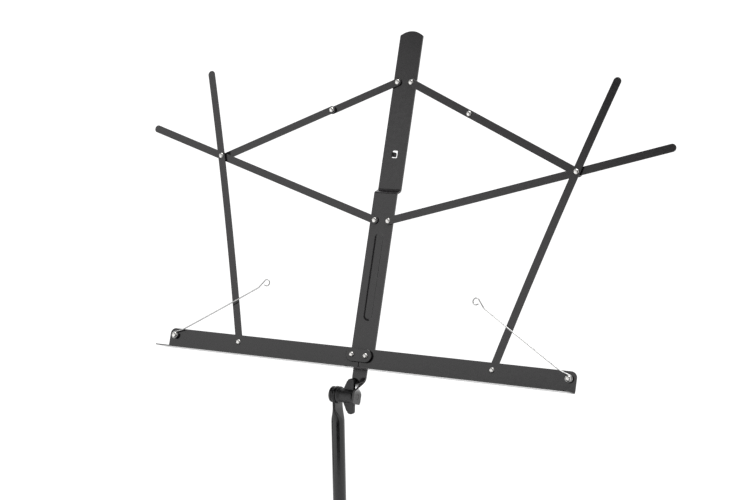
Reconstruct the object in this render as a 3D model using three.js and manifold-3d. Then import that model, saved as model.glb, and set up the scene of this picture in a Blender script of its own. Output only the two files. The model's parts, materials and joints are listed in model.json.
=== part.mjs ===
// Folding music stand: a wire-light desk that folds flat, a tilting head,
// a three-section telescopic shaft and a folding tripod. Millimetres, +Z up.
// The musician stands on the -Y side. The origin is on the floor, under the
// middle of the stand's bounding box.

import * as THREE from 'three';
import { mergeVertices } from 'three/addons/utils/BufferGeometryUtils.js';
import Module from 'manifold-3d';

const wasm = await Module();
wasm.setup();

// ---------------------------------------------------------------- dimensions

const GAP = 0.3; // clearance kept between neighbouring pieces

// Desk frame: x to the right, y up along the desk, z out of its front face.
// Its origin lies midway between the two bottom pivots.
const DESK_LEAN = 19.4; // degrees back from vertical
const STRIP = 1.0; // thickness of the arms and of the tray sheet
const PIVOT_X = 7.8; // pivots of the centre bar, left and right of its middle
const ARM_WIDTH = 8;
const ARM_HOLE = 1.8; // radius
const ROD = 1.5; // radius of every rivet shank
const HEAD = 2.6; // radius of every rivet head
const TAIL = 1; // thickness of the flat head behind the bar
const DOME = { plate: 1.2, diagonal: 0.9, link: 0.85, upright: 1, star: 1.1, knee: 1.3, wire: 1.1 }; // heights

// Centre bar
const BAR = { width: 26, thick: 2, top: 339, crown: 5, stepLow: 166.7, stepHigh: 172.2, stepBack: 7 };
const BEAD = { low: 36, high: 126, width: 10, depth: 0.6 };
const WINDOW = { y: 208.8, width: 6.6, height: 8, corner: 1.4 };
const TAB = { height: 5, reach: 5.2, thick: 1.2, angle: 52 }; // lanced out of the window, to the rear
const TONGUE = { width: 15.5, shoulder: -9, twistTop: -20.5, twistEnd: -39, end: -48.5, corner: 3 };

// Linkage of one side, measured between pivots. The sums make it fold flat:
// TRAY_ARM + UPRIGHT = BAR_LOW + DIAGONAL.
const BAR_LOW = 138.2; // bottom pivot to diagonal pivot, on the bar
const BAR_HIGH = 284.3; // bottom pivot to link pivot, on the bar
const TRAY_ARM = 136.2; // bottom pivot to upright pivot, on the tray
const DIAGONAL = 203.6; // diagonal pivot to star pivot
const UPRIGHT = BAR_LOW + DIAGONAL - TRAY_ARM; // upright pivot to star pivot
const UPRIGHT_TIP = 303.8; // upright pivot to its free tip
const UPRIGHT_BOW = 2.6; // how far the tip curves outward from the line through the pivots
const DIAGONAL_TIP = 301.8; // diagonal pivot to its free tip

// Layers along the desk's z, back face of each strip
const LAYER = { innerLink: -6.2, outerLink: -3.75, diagonal: 0.3, upright: 2.8, tray: 4.1, plate: 6.7 };

// Tray halves: an angle section with a plain ledge
const TRAY = {
  half: 230, low: -13.7, high: 7.3, ledge: 25.8, corner: 6, lip: 3, seam: 0.4, relief: 3, bend: 1.7,
};
const PLATE = { thick: 1.2, height: 13.4 };

// Page wires. Forward runs from the eye to the middle of the far loop, and the
// two bends lie a little to the sides of that line.
const WIRE = {
  pivotX: 222.9, radius: 0.7, level: 7.4, angle: 31.7, reach: 122, loop: 3.3, eye: 3.2,
  nearBend: [10.5, -0.8], farBend: [111, 0.3], head: 2.8,
};

// Tilting head: its bolt runs along x, through the tongue and the shaft's tab
const TILT = { y: -41, z: -1 };
const SHAFT_X = -22; // the shaft stands to the left of the desk's middle
const TILT_HEIGHT = 875; // height of the tilt bolt above the floor
const BOLT = 2.5; // radius of the tilt bolt
const BOLT_HEAD = { r: 8.25, rim: 5.5, bevel: 1.3, thick: 3.2 };
const WASHER = { r: 8, thick: 1.8 };
const KNOB = {
  angle: 15, tip: 18, thick: 4, inner: -2.4, outer: -9.6, foot: -16, round: 2.4,
  flange: 8.6, flangeThick: 2, hub: 7, right: -1.8,
};

// Shaft: outside radius and ends of each tube
const WALL = 1;
const OUTER = { r: 9.6, low: 48, top: 448 };
const MIDDLE = { r: 8.2, low: 280, top: 680 };
const INNER = { r: 6.8, low: 475, tabHalf: 8.75, tabThick: 3, tabLow: 12, roundLow: 28 };

// Clamps: a collar round the joint of two tubes, and the winged screw in it
const CLUTCH = { wall: 5, skirt: 20, rise: 16, straight: 12, screwRise: 7, boss: 4 };
const SCREW = { r: 2.5, hubR: 5, hub: 8, span: 12, round: 3, wingThick: 3.4 };
const BOSS = 5.5; // radius of the boss that a screw runs in

// Tripod
const LEG_AZIMUTHS = [90, 210, 330];
const BASE = { pivotR: 22, collarZ: 255, footR: 250, footZ: 8, link: 130 };
const LEG = { half: 5, wall: 1.2, out: 6.5, in: 5.5, over: 5 };
const STRUT = { width: 9, from: 5.4, to: 7.9 };
const EAR = { half: 3.4, round: 4.5, hubFrom: 8.2, hubTo: 11.2 };
const COLLAR = { r: 13, low: -12, high: 14, screwRise: 4, boss: 17 };
const STRUT_HUB = { low: -12, high: 10 };
const FOOT_CUP = 14; // how far a foot covers the end of its leg
const PIN = { r: 2, head: 3.4, headThick: 1 };

// ------------------------------------------------------------------ materials

const paint = (color, roughness) =>
  new THREE.MeshStandardMaterial({ color, roughness, metalness: 0.3 });
const blackPaint = () => paint(0x242326, 0.38);
const tubePaint = () => paint(0x222124, 0.42);
const blackPlastic = () => new THREE.MeshStandardMaterial({ color: 0x1b1b1d, roughness: 0.6, metalness: 0 });
const rubber = () => new THREE.MeshStandardMaterial({ color: 0x141414, roughness: 0.9, metalness: 0 });
const steel = () => new THREE.MeshStandardMaterial({ color: 0xc9c9cc, roughness: 0.25, metalness: 1 });

// -------------------------------------------------------------- shape helpers

const rad = THREE.MathUtils.degToRad;

// A geometry with shared vertices merged, no flat triangles and faces out.
function tidy(geometry) {
  const bare = geometry.index ? geometry.toNonIndexed() : geometry.clone();
  for (const name of Object.keys(bare.attributes)) {
    if (name !== 'position') bare.deleteAttribute(name);
  }
  const merged = mergeVertices(bare, 1e-4);
  const p = merged.attributes.position;
  const a = new THREE.Vector3();
  const b = new THREE.Vector3();
  const c = new THREE.Vector3();
  const kept = [];
  let volume = 0;
  for (let i = 0; i < merged.index.count; i += 3) {
    const [u, v, w] = [0, 1, 2].map((k) => merged.index.getX(i + k));
    if (u === v || v === w || w === u) continue;
    volume += a.fromBufferAttribute(p, u).dot(
      b.fromBufferAttribute(p, v).cross(c.fromBufferAttribute(p, w)),
    );
    kept.push(u, v, w);
  }
  if (volume < 0) kept.reverse();
  merged.setIndex(kept);
  return merged;
}

function toSolid(geometry) {
  const g = tidy(geometry);
  const mesh = new wasm.Mesh({
    numProp: 3,
    vertProperties: new Float32Array(g.attributes.position.array),
    triVerts: new Uint32Array(g.index.array),
  });
  return new wasm.Manifold(mesh);
}

function fromSolid(solid) {
  const mesh = solid.getMesh();
  const g = new THREE.BufferGeometry();
  g.setAttribute('position', new THREE.Float32BufferAttribute(mesh.vertProperties, 3));
  g.setIndex(Array.from(mesh.triVerts));
  return g;
}

const join = (...list) => fromSolid(list.map(toSolid).reduce((s, t) => s.add(t)));
const cut = (base, ...tools) => fromSolid(tools.map(toSolid).reduce((s, t) => s.subtract(t), toSolid(base)));
const common = (a, b) => fromSolid(toSolid(a).intersect(toSolid(b)));

// A flat sheet: a shape in the x-y plane from z = low to z = high.
function sheet(shape, low, high, curveSegments = 5) {
  const g = new THREE.ExtrudeGeometry(shape, { depth: high - low, bevelEnabled: false, curveSegments });
  return g.translate(0, 0, low);
}

function roundHole(x, y, r) {
  const hole = new THREE.Path();
  hole.absarc(x, y, r, 0, 2 * Math.PI, true);
  return hole;
}

// A strip with round ends whose middle line runs from a to b, with holes on it.
function strip(a, b, width, holes, holeRadius = ARM_HOLE) {
  const angle = Math.atan2(b.y - a.y, b.x - a.x);
  const shape = new THREE.Shape();
  shape.absarc(a.x, a.y, width / 2, angle + Math.PI / 2, angle + 1.5 * Math.PI);
  shape.absarc(b.x, b.y, width / 2, angle - Math.PI / 2, angle + Math.PI / 2);
  for (const h of holes) shape.holes.push(roundHole(h.x, h.y, holeRadius));
  return shape;
}

// A rectangle with its own radius at each corner, anticlockwise from low left.
function roundedBox(x0, y0, x1, y1, [ll, lr, hr, hl]) {
  const s = new THREE.Shape();
  const corner = (x, y, r, start) => {
    if (r > 0) s.absarc(x, y, r, start, start + Math.PI / 2);
    else s.lineTo(x, y);
  };
  s.moveTo(x0 + ll, y0);
  corner(x1 - lr, y0 + lr, lr, -Math.PI / 2);
  corner(x1 - hr, y1 - hr, hr, 0);
  corner(x0 + hl, y1 - hl, hl, Math.PI / 2);
  corner(x0 + ll, y0 + ll, ll, Math.PI);
  return s;
}

// A turned piece: [radius, height] points, from the axis and back to it,
// or closed on themselves. It stands along z.
function turned(points, segments = 12) {
  const g = new THREE.LatheGeometry(points.map(([r, h]) => new THREE.Vector2(r, h)), segments);
  return g.rotateX(Math.PI / 2);
}

const tube = (outer, inner, low, high, segments = 24) =>
  turned([[inner, low], [outer, low], [outer, high], [inner, high], [inner, low]], segments);
const rod = (radius, low, high, segments = 12) =>
  turned([[0, low], [radius, low], [radius, high], [0, high]], segments);

// A solid through rings of points, each ring having as many points.
function skin(rings) {
  const n = rings[0].length;
  const points = rings.flat();
  const index = [];
  for (let k = 0; k + 1 < rings.length; k++) {
    for (let i = 0; i < n; i++) {
      const j = (i + 1) % n;
      index.push(k * n + i, k * n + j, (k + 1) * n + j);
      index.push(k * n + i, (k + 1) * n + j, (k + 1) * n + i);
    }
  }
  const last = (rings.length - 1) * n;
  for (let i = 1; i + 1 < n; i++) {
    index.push(0, i + 1, i);
    index.push(last, last + i, last + i + 1);
  }
  const g = new THREE.BufferGeometry().setFromPoints(points);
  g.setIndex(index);
  return g;
}

// The dome of a rivet head, as [radius, height] points from its rim to its top.
function dome(base, height, radius = HEAD) {
  const steps = 3;
  return Array.from({ length: steps + 1 }, (_, i) => {
    const t = (i / steps) * (Math.PI / 2);
    return [radius * Math.cos(t), base + height * Math.sin(t)];
  }).map(([r, h], i) => (i === steps ? [0, h] : [r, h]));
}

const placed = (geometry, x, y, z = 0) => geometry.clone().translate(x, y, z);

// --------------------------------------------------------------------- groups

const stand = new THREE.Group();
const desk = new THREE.Group();
const shaft = new THREE.Group();
stand.add(desk, shaft);

function add(group, name, geometry, material) {
  const mesh = new THREE.Mesh(tidy(geometry), material);
  mesh.name = name;
  group.add(mesh);
  return mesh;
}

// ------------------------------------------------------------ desk: centre bar

const point = (x, y) => new THREE.Vector2(x, y);

function centreBar() {
  const half = BAR.width / 2;
  const neck = TONGUE.width / 2;
  const outline = new THREE.Shape();
  outline.moveTo(-neck, TONGUE.twistTop);
  outline.lineTo(neck, TONGUE.twistTop);
  outline.lineTo(neck, TONGUE.shoulder - 2);
  outline.quadraticCurveTo(neck, TONGUE.shoulder, half - 2, TONGUE.shoulder);
  outline.absarc(half - 2, TONGUE.shoulder + 2, 2, -Math.PI / 2, 0);
  const rim = BAR.top - BAR.crown;
  outline.lineTo(half, rim - 2);
  outline.quadraticCurveTo(half, rim, half - 2.2, rim + 1.4);
  outline.quadraticCurveTo(0, BAR.top + 2.9, 2.2 - half, rim + 1.4);
  outline.quadraticCurveTo(-half, rim, -half, rim - 2);
  outline.absarc(2 - half, TONGUE.shoulder + 2, 2, Math.PI, 1.5 * Math.PI);
  outline.quadraticCurveTo(-neck, TONGUE.shoulder, -neck, TONGUE.shoulder - 2);
  for (const side of [-1, 1]) {
    for (const y of [0, BAR_LOW, BAR_HIGH]) outline.holes.push(roundHole(side * PIVOT_X, y, ARM_HOLE));
  }
  const w = WINDOW.width / 2;
  const h = WINDOW.height / 2;
  const r = WINDOW.corner;
  outline.holes.push(roundedBox(-w, WINDOW.y - h, w, WINDOW.y + h, [r, r, r, r]));
  const face = sheet(outline, -BAR.stepBack - BAR.thick - 1, 1);

  // side profile in (z, y): the upper length is set back by one joggle
  const back = -BAR.thick;
  const profile = new THREE.Shape([
    point(back, TONGUE.twistTop - 1), point(0, TONGUE.twistTop - 1), point(0, BAR.stepLow),
    point(-BAR.stepBack, BAR.stepHigh), point(-BAR.stepBack, BAR.top + 5),
    point(back - BAR.stepBack, BAR.top + 5), point(back - BAR.stepBack, BAR.stepHigh),
    point(back, BAR.stepLow),
  ]);
  const side = sheet(profile, -BAR.width, BAR.width).rotateY(-Math.PI / 2);
  return common(face, side);
}

// The tab lanced out of the window is bent to the rear from its left side.
function windowTab() {
  const { height, reach, thick, angle } = TAB;
  const root = 0.8; // how far the tab runs into the bar
  const tab = new THREE.BoxGeometry(reach + root, height, thick).translate((reach - root) / 2, 0, -thick / 2);
  return tab.rotateY(rad(angle)).translate(-WINDOW.width / 2, WINDOW.y, -BAR.stepBack - 0.6);
}

// The strip below the bar turns a quarter turn, then carries the tilt bolt.
function tongue() {
  const neck = TONGUE.width / 2;
  const half = BAR.thick / 2;
  const steps = 10;
  const rings = [];
  for (let k = 0; k <= steps; k++) {
    const t = k / steps;
    const ease = t * t * (3 - 2 * t);
    const turn = ease * (Math.PI / 2);
    const y = TONGUE.twistTop + t * (TONGUE.twistEnd - TONGUE.twistTop) + (k === 0 ? 0.5 : 0);
    const corners = [[-neck, -half], [neck, -half], [neck, half], [-neck, half]];
    rings.push(corners.map(([x, z]) => new THREE.Vector3(
      x * Math.cos(turn) - z * Math.sin(turn),
      y,
      TILT.z + x * Math.sin(turn) + z * Math.cos(turn),
    )));
  }
  const twist = skin(rings);
  const { end, corner, twistEnd } = TONGUE;
  const overlap = 0.4; // the flat end runs this far into the twist
  const blade = roundedBox(-TILT.z - neck, end, neck - TILT.z, twistEnd + overlap, [corner, corner, 0, 0]);
  return join(twist, sheet(blade, -half, half).rotateY(Math.PI / 2));
}

function beadTools() {
  const { low, high, width, depth } = BEAD;
  const shape = strip(point(0, low + width / 2), point(0, high - width / 2), width, []);
  const inner = strip(point(0, low + width / 2), point(0, high - width / 2), width - 1.6, []);
  return [sheet(shape, -depth, 1), sheet(inner, -BAR.thick - depth, -BAR.thick + 0.2)];
}

const [beadFront, beadBack] = beadTools();
const boltHole = rod(BOLT + GAP, -6, 6).rotateY(Math.PI / 2).translate(0, TILT.y, TILT.z);
const bar = cut(join(centreBar(), windowTab(), tongue(), beadBack), beadFront, boltHole);
add(desk, 'centre_bar', bar, blackPaint());

// ------------------------------------------------- desk: bracket plate, rivets

const plateTop = LAYER.plate + PLATE.thick;
const plateShape = strip(point(-PIVOT_X, 0), point(PIVOT_X, 0), PLATE.height, [
  point(-PIVOT_X, 0), point(PIVOT_X, 0),
]);
add(desk, 'bracket_plate', sheet(plateShape, LAYER.plate, plateTop, 7), blackPaint());

const trayFront = LAYER.tray + STRIP;
const SPACER = HEAD + 0.7; // radius of the bracket rivets' spacing shoulders

// The flat head of a rivet behind the bar, whose rear face lies at z = back.
const tail = (back) => [
  [0, back - TAIL], [HEAD, back - TAIL], [HEAD, back - GAP], [ROD, back - GAP],
];

const bracketRivet = turned([
  ...tail(-BAR.thick),
  [ROD, GAP], [SPACER, GAP], [SPACER, LAYER.tray - GAP], [ROD, LAYER.tray - GAP],
  [ROD, trayFront + GAP], [SPACER, trayFront + GAP], [SPACER, LAYER.plate - GAP],
  [ROD, LAYER.plate - GAP], [ROD, plateTop + GAP], ...dome(plateTop + GAP, DOME.plate),
]);
const diagonalRivet = turned([
  ...tail(-BAR.thick),
  [ROD, LAYER.diagonal + STRIP + GAP], ...dome(LAYER.diagonal + STRIP + GAP, DOME.diagonal),
]);
const linkRivet = turned([
  ...tail(-BAR.stepBack - BAR.thick),
  [ROD, LAYER.innerLink + STRIP + GAP], ...dome(LAYER.innerLink + STRIP + GAP, DOME.link),
]);

// ---------------------------------------------------------- desk: one side

// Where two circles about a and b cross, on the side of +x.
function crossing(a, ra, b, rb) {
  const d = a.distanceTo(b);
  const along = (ra * ra - rb * rb + d * d) / (2 * d);
  const off = Math.sqrt(ra * ra - along * along);
  const dir = b.clone().sub(a).divideScalar(d);
  const p = a.clone().addScaledVector(dir, along);
  const one = point(p.x - dir.y * off, p.y + dir.x * off);
  const two = point(p.x + dir.y * off, p.y - dir.x * off);
  return one.x > two.x ? one : two;
}

// A strip from a towards b whose middle line passes through both, then curves
// aside, to the right of its way, by bow at its far end.
function bowedStrip(a, b, length, width, bow, holes) {
  const way = b.clone().sub(a).normalize();
  const aside = point(way.y, -way.x);
  const span = a.distanceTo(b);
  const curve = bow / (length * (length - span));
  const steps = 14;
  const edge = (sign) => Array.from({ length: steps + 1 }, (_, k) => {
    const along = (k / steps) * length;
    const off = curve * along * (along - span) + (sign * width) / 2;
    return a.clone().addScaledVector(way, along).addScaledVector(aside, off);
  });
  const roundSteps = 9;
  const round = (centre, start) => Array.from({ length: roundSteps }, (_, k) => {
    const t = start + ((k + 1) / (roundSteps + 1)) * Math.PI;
    return point(centre.x + (width / 2) * Math.cos(t), centre.y + (width / 2) * Math.sin(t));
  });
  const angle = Math.atan2(way.y, way.x);
  const far = a.clone().addScaledVector(way, length).addScaledVector(aside, bow);
  const shape = new THREE.Shape([
    ...edge(1), ...round(far, angle - Math.PI / 2), ...edge(-1).reverse(), ...round(a, angle + Math.PI / 2),
  ]);
  for (const h of holes) shape.holes.push(roundHole(h.x, h.y, ARM_HOLE));
  return shape;
}

const towards = (a, b, length) => a.clone().add(b.clone().sub(a).setLength(length));

// Pivots of the right side, open; the left side is their mirror image.
const bottom = point(PIVOT_X, 0);
const diagonalRoot = point(PIVOT_X, BAR_LOW);
const linkRoot = point(PIVOT_X, BAR_HIGH);
const uprightRoot = point(PIVOT_X + TRAY_ARM, 0);
const star = crossing(uprightRoot, UPRIGHT, diagonalRoot, DIAGONAL);
const linkSpan = linkRoot.distanceTo(star);
const linkExcess = DIAGONAL - (BAR_HIGH - BAR_LOW);
const INNER_LINK = (linkSpan - linkExcess) / 2;
const knee = towards(linkRoot, star, INNER_LINK);
const diagonalTip = towards(diagonalRoot, star, DIAGONAL_TIP - ARM_WIDTH / 2);
const wirePivot = point(WIRE.pivotX, 0);

const level = (layer) => [layer, layer + STRIP];

// One tray half: the face stands on a ledge that comes forward under the music.
// The angle's side profile is cut to the outlines of its face and of its ledge.
function trayHalf() {
  const { half, low, high, ledge, corner, lip, seam, relief, bend } = TRAY;
  const past = 5; // how far the cutting shapes run past the sheet
  const face = new THREE.Shape();
  face.moveTo(seam, low - past);
  face.lineTo(half, low - past);
  face.lineTo(half, high - corner);
  face.absarc(half - corner, high - corner, corner, 0, Math.PI / 2);
  face.lineTo(PIVOT_X, high);
  face.absarc(PIVOT_X, 0, high, Math.PI / 2, Math.PI);
  for (const p of [bottom, uprightRoot, wirePivot]) face.holes.push(roundHole(p.x, p.y, ARM_HOLE));
  const front = trayFront + ledge;
  const plan = new THREE.Shape();
  plan.moveTo(seam, past);
  plan.lineTo(half, past);
  plan.lineTo(half, lip - front);
  plan.absarc(half - lip, lip - front, lip, 0, -Math.PI / 2, true);
  plan.lineTo(seam, -front);
  const profile = new THREE.Shape();
  profile.moveTo(LAYER.tray, high + past);
  profile.lineTo(LAYER.tray, low + bend);
  profile.absarc(LAYER.tray + bend, low + bend, bend, Math.PI, 1.5 * Math.PI);
  profile.lineTo(front + past, low);
  profile.lineTo(front + past, low + STRIP);
  profile.lineTo(LAYER.tray + bend, low + STRIP);
  profile.absarc(LAYER.tray + bend, low + bend, bend - STRIP, 1.5 * Math.PI, Math.PI, true);
  profile.lineTo(trayFront, high + past);
  const angle = sheet(profile, -half - past, past, 4).rotateY(-Math.PI / 2);
  const outline = sheet(face, -past, front + past);
  const ground = sheet(plan, low - past, high + past).rotateX(-Math.PI / 2);
  const corners = rod(relief, LAYER.tray - past, trayFront + 2 * relief, 16).translate(seam, low, 0);
  return cut(common(common(angle, outline), ground), corners);
}

// Mirrors a geometry in x for the left side.
function mirrored(geometry, side) {
  return side > 0 ? geometry : tidy(geometry.clone().scale(-1, 1, 1));
}

// The page wire: an eye round its rivet, a long shank between two slight bends,
// and a turned loop. Each ring is left or met along its tangent.
function pageWire() {
  const { reach, angle, level: z, loop, eye, nearBend, farBend } = WIRE;
  const a = rad(180 - angle);
  const along = point(Math.cos(a), Math.sin(a));
  const aside = point(-along.y, along.x);
  const at = (forward, sideways) => new THREE.Vector3(
    wirePivot.x + along.x * forward + aside.x * sideways,
    wirePivot.y + along.y * forward + aside.y * sideways,
    z,
  );
  const ring = (forward, r, from, to, steps) => Array.from({ length: steps + 1 }, (_, i) => {
    const t = rad(from + ((to - from) * i) / steps);
    return at(forward + r * Math.cos(t), r * Math.sin(t));
  });
  const points = [
    ...ring(0, eye, -360, -77, 10),
    at(...nearBend), at(...farBend),
    ...ring(reach, loop, -108, 170, 12),
  ];
  return wireAlong(points, WIRE.radius);
}

function wireAlong(points, radius) {
  const sides = 6;
  const rings = points.map((p, i) => {
    const before = points[Math.max(i - 1, 0)];
    const after = points[Math.min(i + 1, points.length - 1)];
    const dir = after.clone().sub(before).normalize();
    const across = new THREE.Vector3(-dir.y, dir.x, 0);
    return Array.from({ length: sides }, (_, k) => {
      const t = (k / sides) * 2 * Math.PI;
      const out = across.clone().multiplyScalar(radius * Math.cos(t));
      return p.clone().add(out).add(new THREE.Vector3(0, 0, radius * Math.sin(t)));
    });
  });
  return skin(rings);
}

const uprightRivet = turned([
  [0, LAYER.upright], [ROD, LAYER.upright], [ROD, trayFront + GAP], ...dome(trayFront + GAP, DOME.upright),
]);
const wireTop = WIRE.level + WIRE.radius + GAP;
const wireRivet = turned([
  [0, LAYER.tray], [ROD, LAYER.tray], [ROD, trayFront + GAP], [HEAD, trayFront + GAP],
  [HEAD, WIRE.level - WIRE.radius - GAP], [ROD, WIRE.level - WIRE.radius - GAP],
  [ROD, wireTop], ...dome(wireTop, DOME.wire, WIRE.head),
]);
const uprightTop = LAYER.upright + STRIP;
const diagonalTop = LAYER.diagonal + STRIP;
const outerTop = LAYER.outerLink + STRIP;
const innerTop = LAYER.innerLink + STRIP;
const starFront = turned([
  [0, diagonalTop + GAP], [HEAD, diagonalTop + GAP], [HEAD, LAYER.upright - GAP],
  [ROD, LAYER.upright - GAP], [ROD, uprightTop + GAP], ...dome(uprightTop + GAP, DOME.star),
]);
const starRear = turned([
  [0, LAYER.outerLink - GAP - 0.5], [HEAD, LAYER.outerLink - GAP - 0.5], [HEAD, LAYER.outerLink - GAP],
  [ROD, LAYER.outerLink - GAP], [ROD, outerTop + GAP], [HEAD, outerTop + GAP],
  [HEAD, LAYER.diagonal - GAP], [ROD, LAYER.diagonal - GAP], [ROD, diagonalTop], [0, diagonalTop],
]);
const kneeFront = turned([
  [0, innerTop + GAP], [HEAD, innerTop + GAP], [HEAD, LAYER.outerLink - GAP],
  [ROD, LAYER.outerLink - GAP], [ROD, outerTop + GAP], ...dome(outerTop + GAP, DOME.knee),
]);
const kneeRear = turned([
  [0, LAYER.innerLink - GAP - 0.2], [HEAD, LAYER.innerLink - GAP - 0.2], [HEAD, LAYER.innerLink - GAP],
  [ROD, LAYER.innerLink - GAP], [ROD, innerTop], [0, innerTop],
]);

function deskSide(word, side) {
  const name = (base) => `${base}_${word}`;
  const put = (base, geometry, material) => add(desk, name(base), mirrored(geometry, side), material);
  const rivet = (base, geometry, p) => put(base, placed(geometry, p.x, p.y), steel());

  put('tray', trayHalf(), blackPaint());
  const upright = bowedStrip(
    uprightRoot, star, UPRIGHT_TIP - ARM_WIDTH / 2, ARM_WIDTH, UPRIGHT_BOW, [uprightRoot, star],
  );
  put('upright', sheet(upright, ...level(LAYER.upright)), blackPaint());
  put('diagonal', sheet(strip(diagonalRoot, diagonalTip, ARM_WIDTH, [diagonalRoot, star]),
    ...level(LAYER.diagonal)), blackPaint());
  put('inner_link', sheet(strip(linkRoot, knee, ARM_WIDTH, [linkRoot, knee]),
    ...level(LAYER.innerLink)), blackPaint());
  put('outer_link', sheet(strip(knee, star, ARM_WIDTH, [knee, star]),
    ...level(LAYER.outerLink)), blackPaint());

  rivet('bracket_rivet', bracketRivet, bottom);
  rivet('diagonal_rivet', diagonalRivet, diagonalRoot);
  rivet('link_rivet', linkRivet, linkRoot);
  rivet('upright_rivet', uprightRivet, uprightRoot);
  rivet('star_rivet_front', starFront, star);
  rivet('star_rivet_rear', starRear, star);
  rivet('knee_rivet_front', kneeFront, knee);
  rivet('knee_rivet_rear', kneeRear, knee);
  rivet('wire_rivet', wireRivet, wirePivot);
  put('page_wire', pageWire(), steel());
}

deskSide('left', -1);
deskSide('right', 1);

// ----------------------------------------------------------------- tilting head

const alongX = (geometry) => geometry.rotateY(Math.PI / 2);
const onTiltAxis = (geometry) => geometry.translate(0, TILT.y, TILT.z);
const tabLeft = SHAFT_X - INNER.tabThick / 2;
const tabRight = SHAFT_X + INNER.tabThick / 2;

const boltHead = tabLeft - WASHER.thick - 2 * GAP;
const boltEnd = BAR.thick / 2 - 0.1; // the bolt stops just inside the tongue's right face
const tiltBolt = turned([
  [0, boltHead - BOLT_HEAD.thick], [BOLT_HEAD.rim, boltHead - BOLT_HEAD.thick],
  [BOLT_HEAD.r, boltHead - BOLT_HEAD.thick + BOLT_HEAD.bevel], [BOLT_HEAD.r, boltHead],
  [BOLT, boltHead], [BOLT, boltEnd], [0, boltEnd],
], 24);
add(desk, 'tilt_bolt', onTiltAxis(alongX(tiltBolt)), blackPaint());

const washer = tube(WASHER.r, BOLT + GAP, boltHead + GAP, tabLeft - GAP, 24);
add(desk, 'tilt_washer', onTiltAxis(alongX(washer)), blackPlastic());

function tiltKnob() {
  const left = tabRight + GAP;
  const { right, flange, flangeThick, hub: hubR } = KNOB;
  const bore = BOLT + GAP;
  const hub = alongX(turned([
    [bore, left], [flange, left], [flange, left + flangeThick], [hubR, left + flangeThick + 1.2],
    [hubR, right - 1], [hubR - 0.8, right], [bore, right], [bore, left],
  ], 24));
  const { tip, inner, outer, foot, round } = KNOB;
  const upper = [point(foot, 1), point(foot + 0.5, 4), point(outer - 1, tip - round)];
  const upperRight = [point(inner, tip - round), point(inner, 1)];
  const top = [0, 1, 2, 3].map((k) => {
    const t = Math.PI - (k / 3) * Math.PI;
    const middle = (outer + inner) / 2;
    return point(middle + ((inner - outer) / 2) * Math.cos(t), tip - round + round * Math.sin(t));
  });
  const half = [...upper, ...top, ...upperRight];
  const wing = new THREE.Shape([...half, ...half.map((p) => point(p.x, -p.y)).reverse()]);
  const blade = sheet(wing, -KNOB.thick / 2, KNOB.thick / 2, 5);
  const core = alongX(rod(bore, left - 1, right + 1, 20));
  return cut(join(hub, blade), core).rotateX(rad(KNOB.angle));
}
add(desk, 'tilt_knob', onTiltAxis(tiltKnob()), blackPlastic());

// -------------------------------------------------------------------- shaft

// A ring of points: a round or flattened tube's section at height z.
function flatRing(halfX, halfY, z, count = 24) {
  return Array.from({ length: count }, (_, i) => {
    const t = ((i + 0.5) / count) * 2 * Math.PI;
    const shift = Math.sign(Math.sin(t)) * (halfY - halfX);
    return new THREE.Vector3(halfX * Math.cos(t), halfX * Math.sin(t) + shift, z);
  });
}

function innerTube() {
  const { r, low, tabHalf, tabThick, tabLow, roundLow } = INNER;
  const flat = tabThick / 2;
  const rings = [flatRing(r, r + 1e-3, low)];
  const steps = 6;
  for (let i = 0; i <= steps; i++) {
    const t = i / steps;
    const ease = t * t * (3 - 2 * t);
    const halfX = r + (flat - r) * ease;
    const halfY = r + (tabHalf - r) * ease;
    rings.push(flatRing(halfX, halfY + 1e-3, TILT_HEIGHT - roundLow + t * (roundLow - tabLow)));
  }
  rings.push(flatRing(flat, tabHalf, TILT_HEIGHT));
  for (let i = 1; i <= 5; i++) {
    const t = (i / 5.4) * (Math.PI / 2);
    const halfY = Math.max(tabHalf * Math.cos(t), flat + 0.4);
    rings.push(flatRing(flat, halfY, TILT_HEIGHT + tabHalf * Math.sin(t)));
  }
  const bore = rod(r - WALL, low - 1, TILT_HEIGHT - roundLow - 2, 24);
  const cross = alongX(rod(BOLT + GAP, -10, 10)).translate(0, 0, TILT_HEIGHT);
  return cut(skin(rings), bore, cross);
}

add(shaft, 'inner_tube', innerTube(), tubePaint());
add(shaft, 'middle_tube', tube(MIDDLE.r, MIDDLE.r - WALL, MIDDLE.low, MIDDLE.top), tubePaint());
add(shaft, 'outer_tube', tube(OUTER.r, OUTER.r - WALL, OUTER.low, OUTER.top), tubePaint());

// A screw with a winged head, along +x from its tip at x = 0.
function thumbScrew(reach) {
  const { r, hubR, hub, span, round, wingThick } = SCREW;
  const end = reach + hub;
  const waist = reach + 0.6;
  const stem = turned([
    [0, 0], [r, 0], [r, reach], [hubR, reach], [hubR, end - 1], [hubR - 1, end], [0, end],
  ], 16);
  const wing = new THREE.Shape();
  wing.moveTo(waist, 0);
  wing.quadraticCurveTo(waist, span - round, end - round, span);
  wing.absarc(end, span, round, Math.PI, 0, true);
  wing.quadraticCurveTo(end + 2, span / 2, end - 0.5, 0);
  wing.quadraticCurveTo(end + 2, -span / 2, end + round, -span);
  wing.absarc(end, -span, round, 0, -Math.PI, true);
  wing.quadraticCurveTo(waist, round - span, waist, 0);
  return join(alongX(stem), sheet(wing, -wingThick / 2, wingThick / 2, 5));
}

// Turns a piece built along +x to face the front, at height z.
const facingFront = (geometry, z, from) =>
  geometry.translate(from, 0, 0).rotateZ(-Math.PI / 2).translate(0, 0, z);

// A boss that points to the front, and the hole drilled through it.
const frontBoss = (from, to, z) => facingFront(alongX(rod(BOSS, from, to, 14)), z, 0);
const frontDrill = (from, to, z) => facingFront(alongX(rod(SCREW.r + GAP, from, to + 1)), z, 0);

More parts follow.
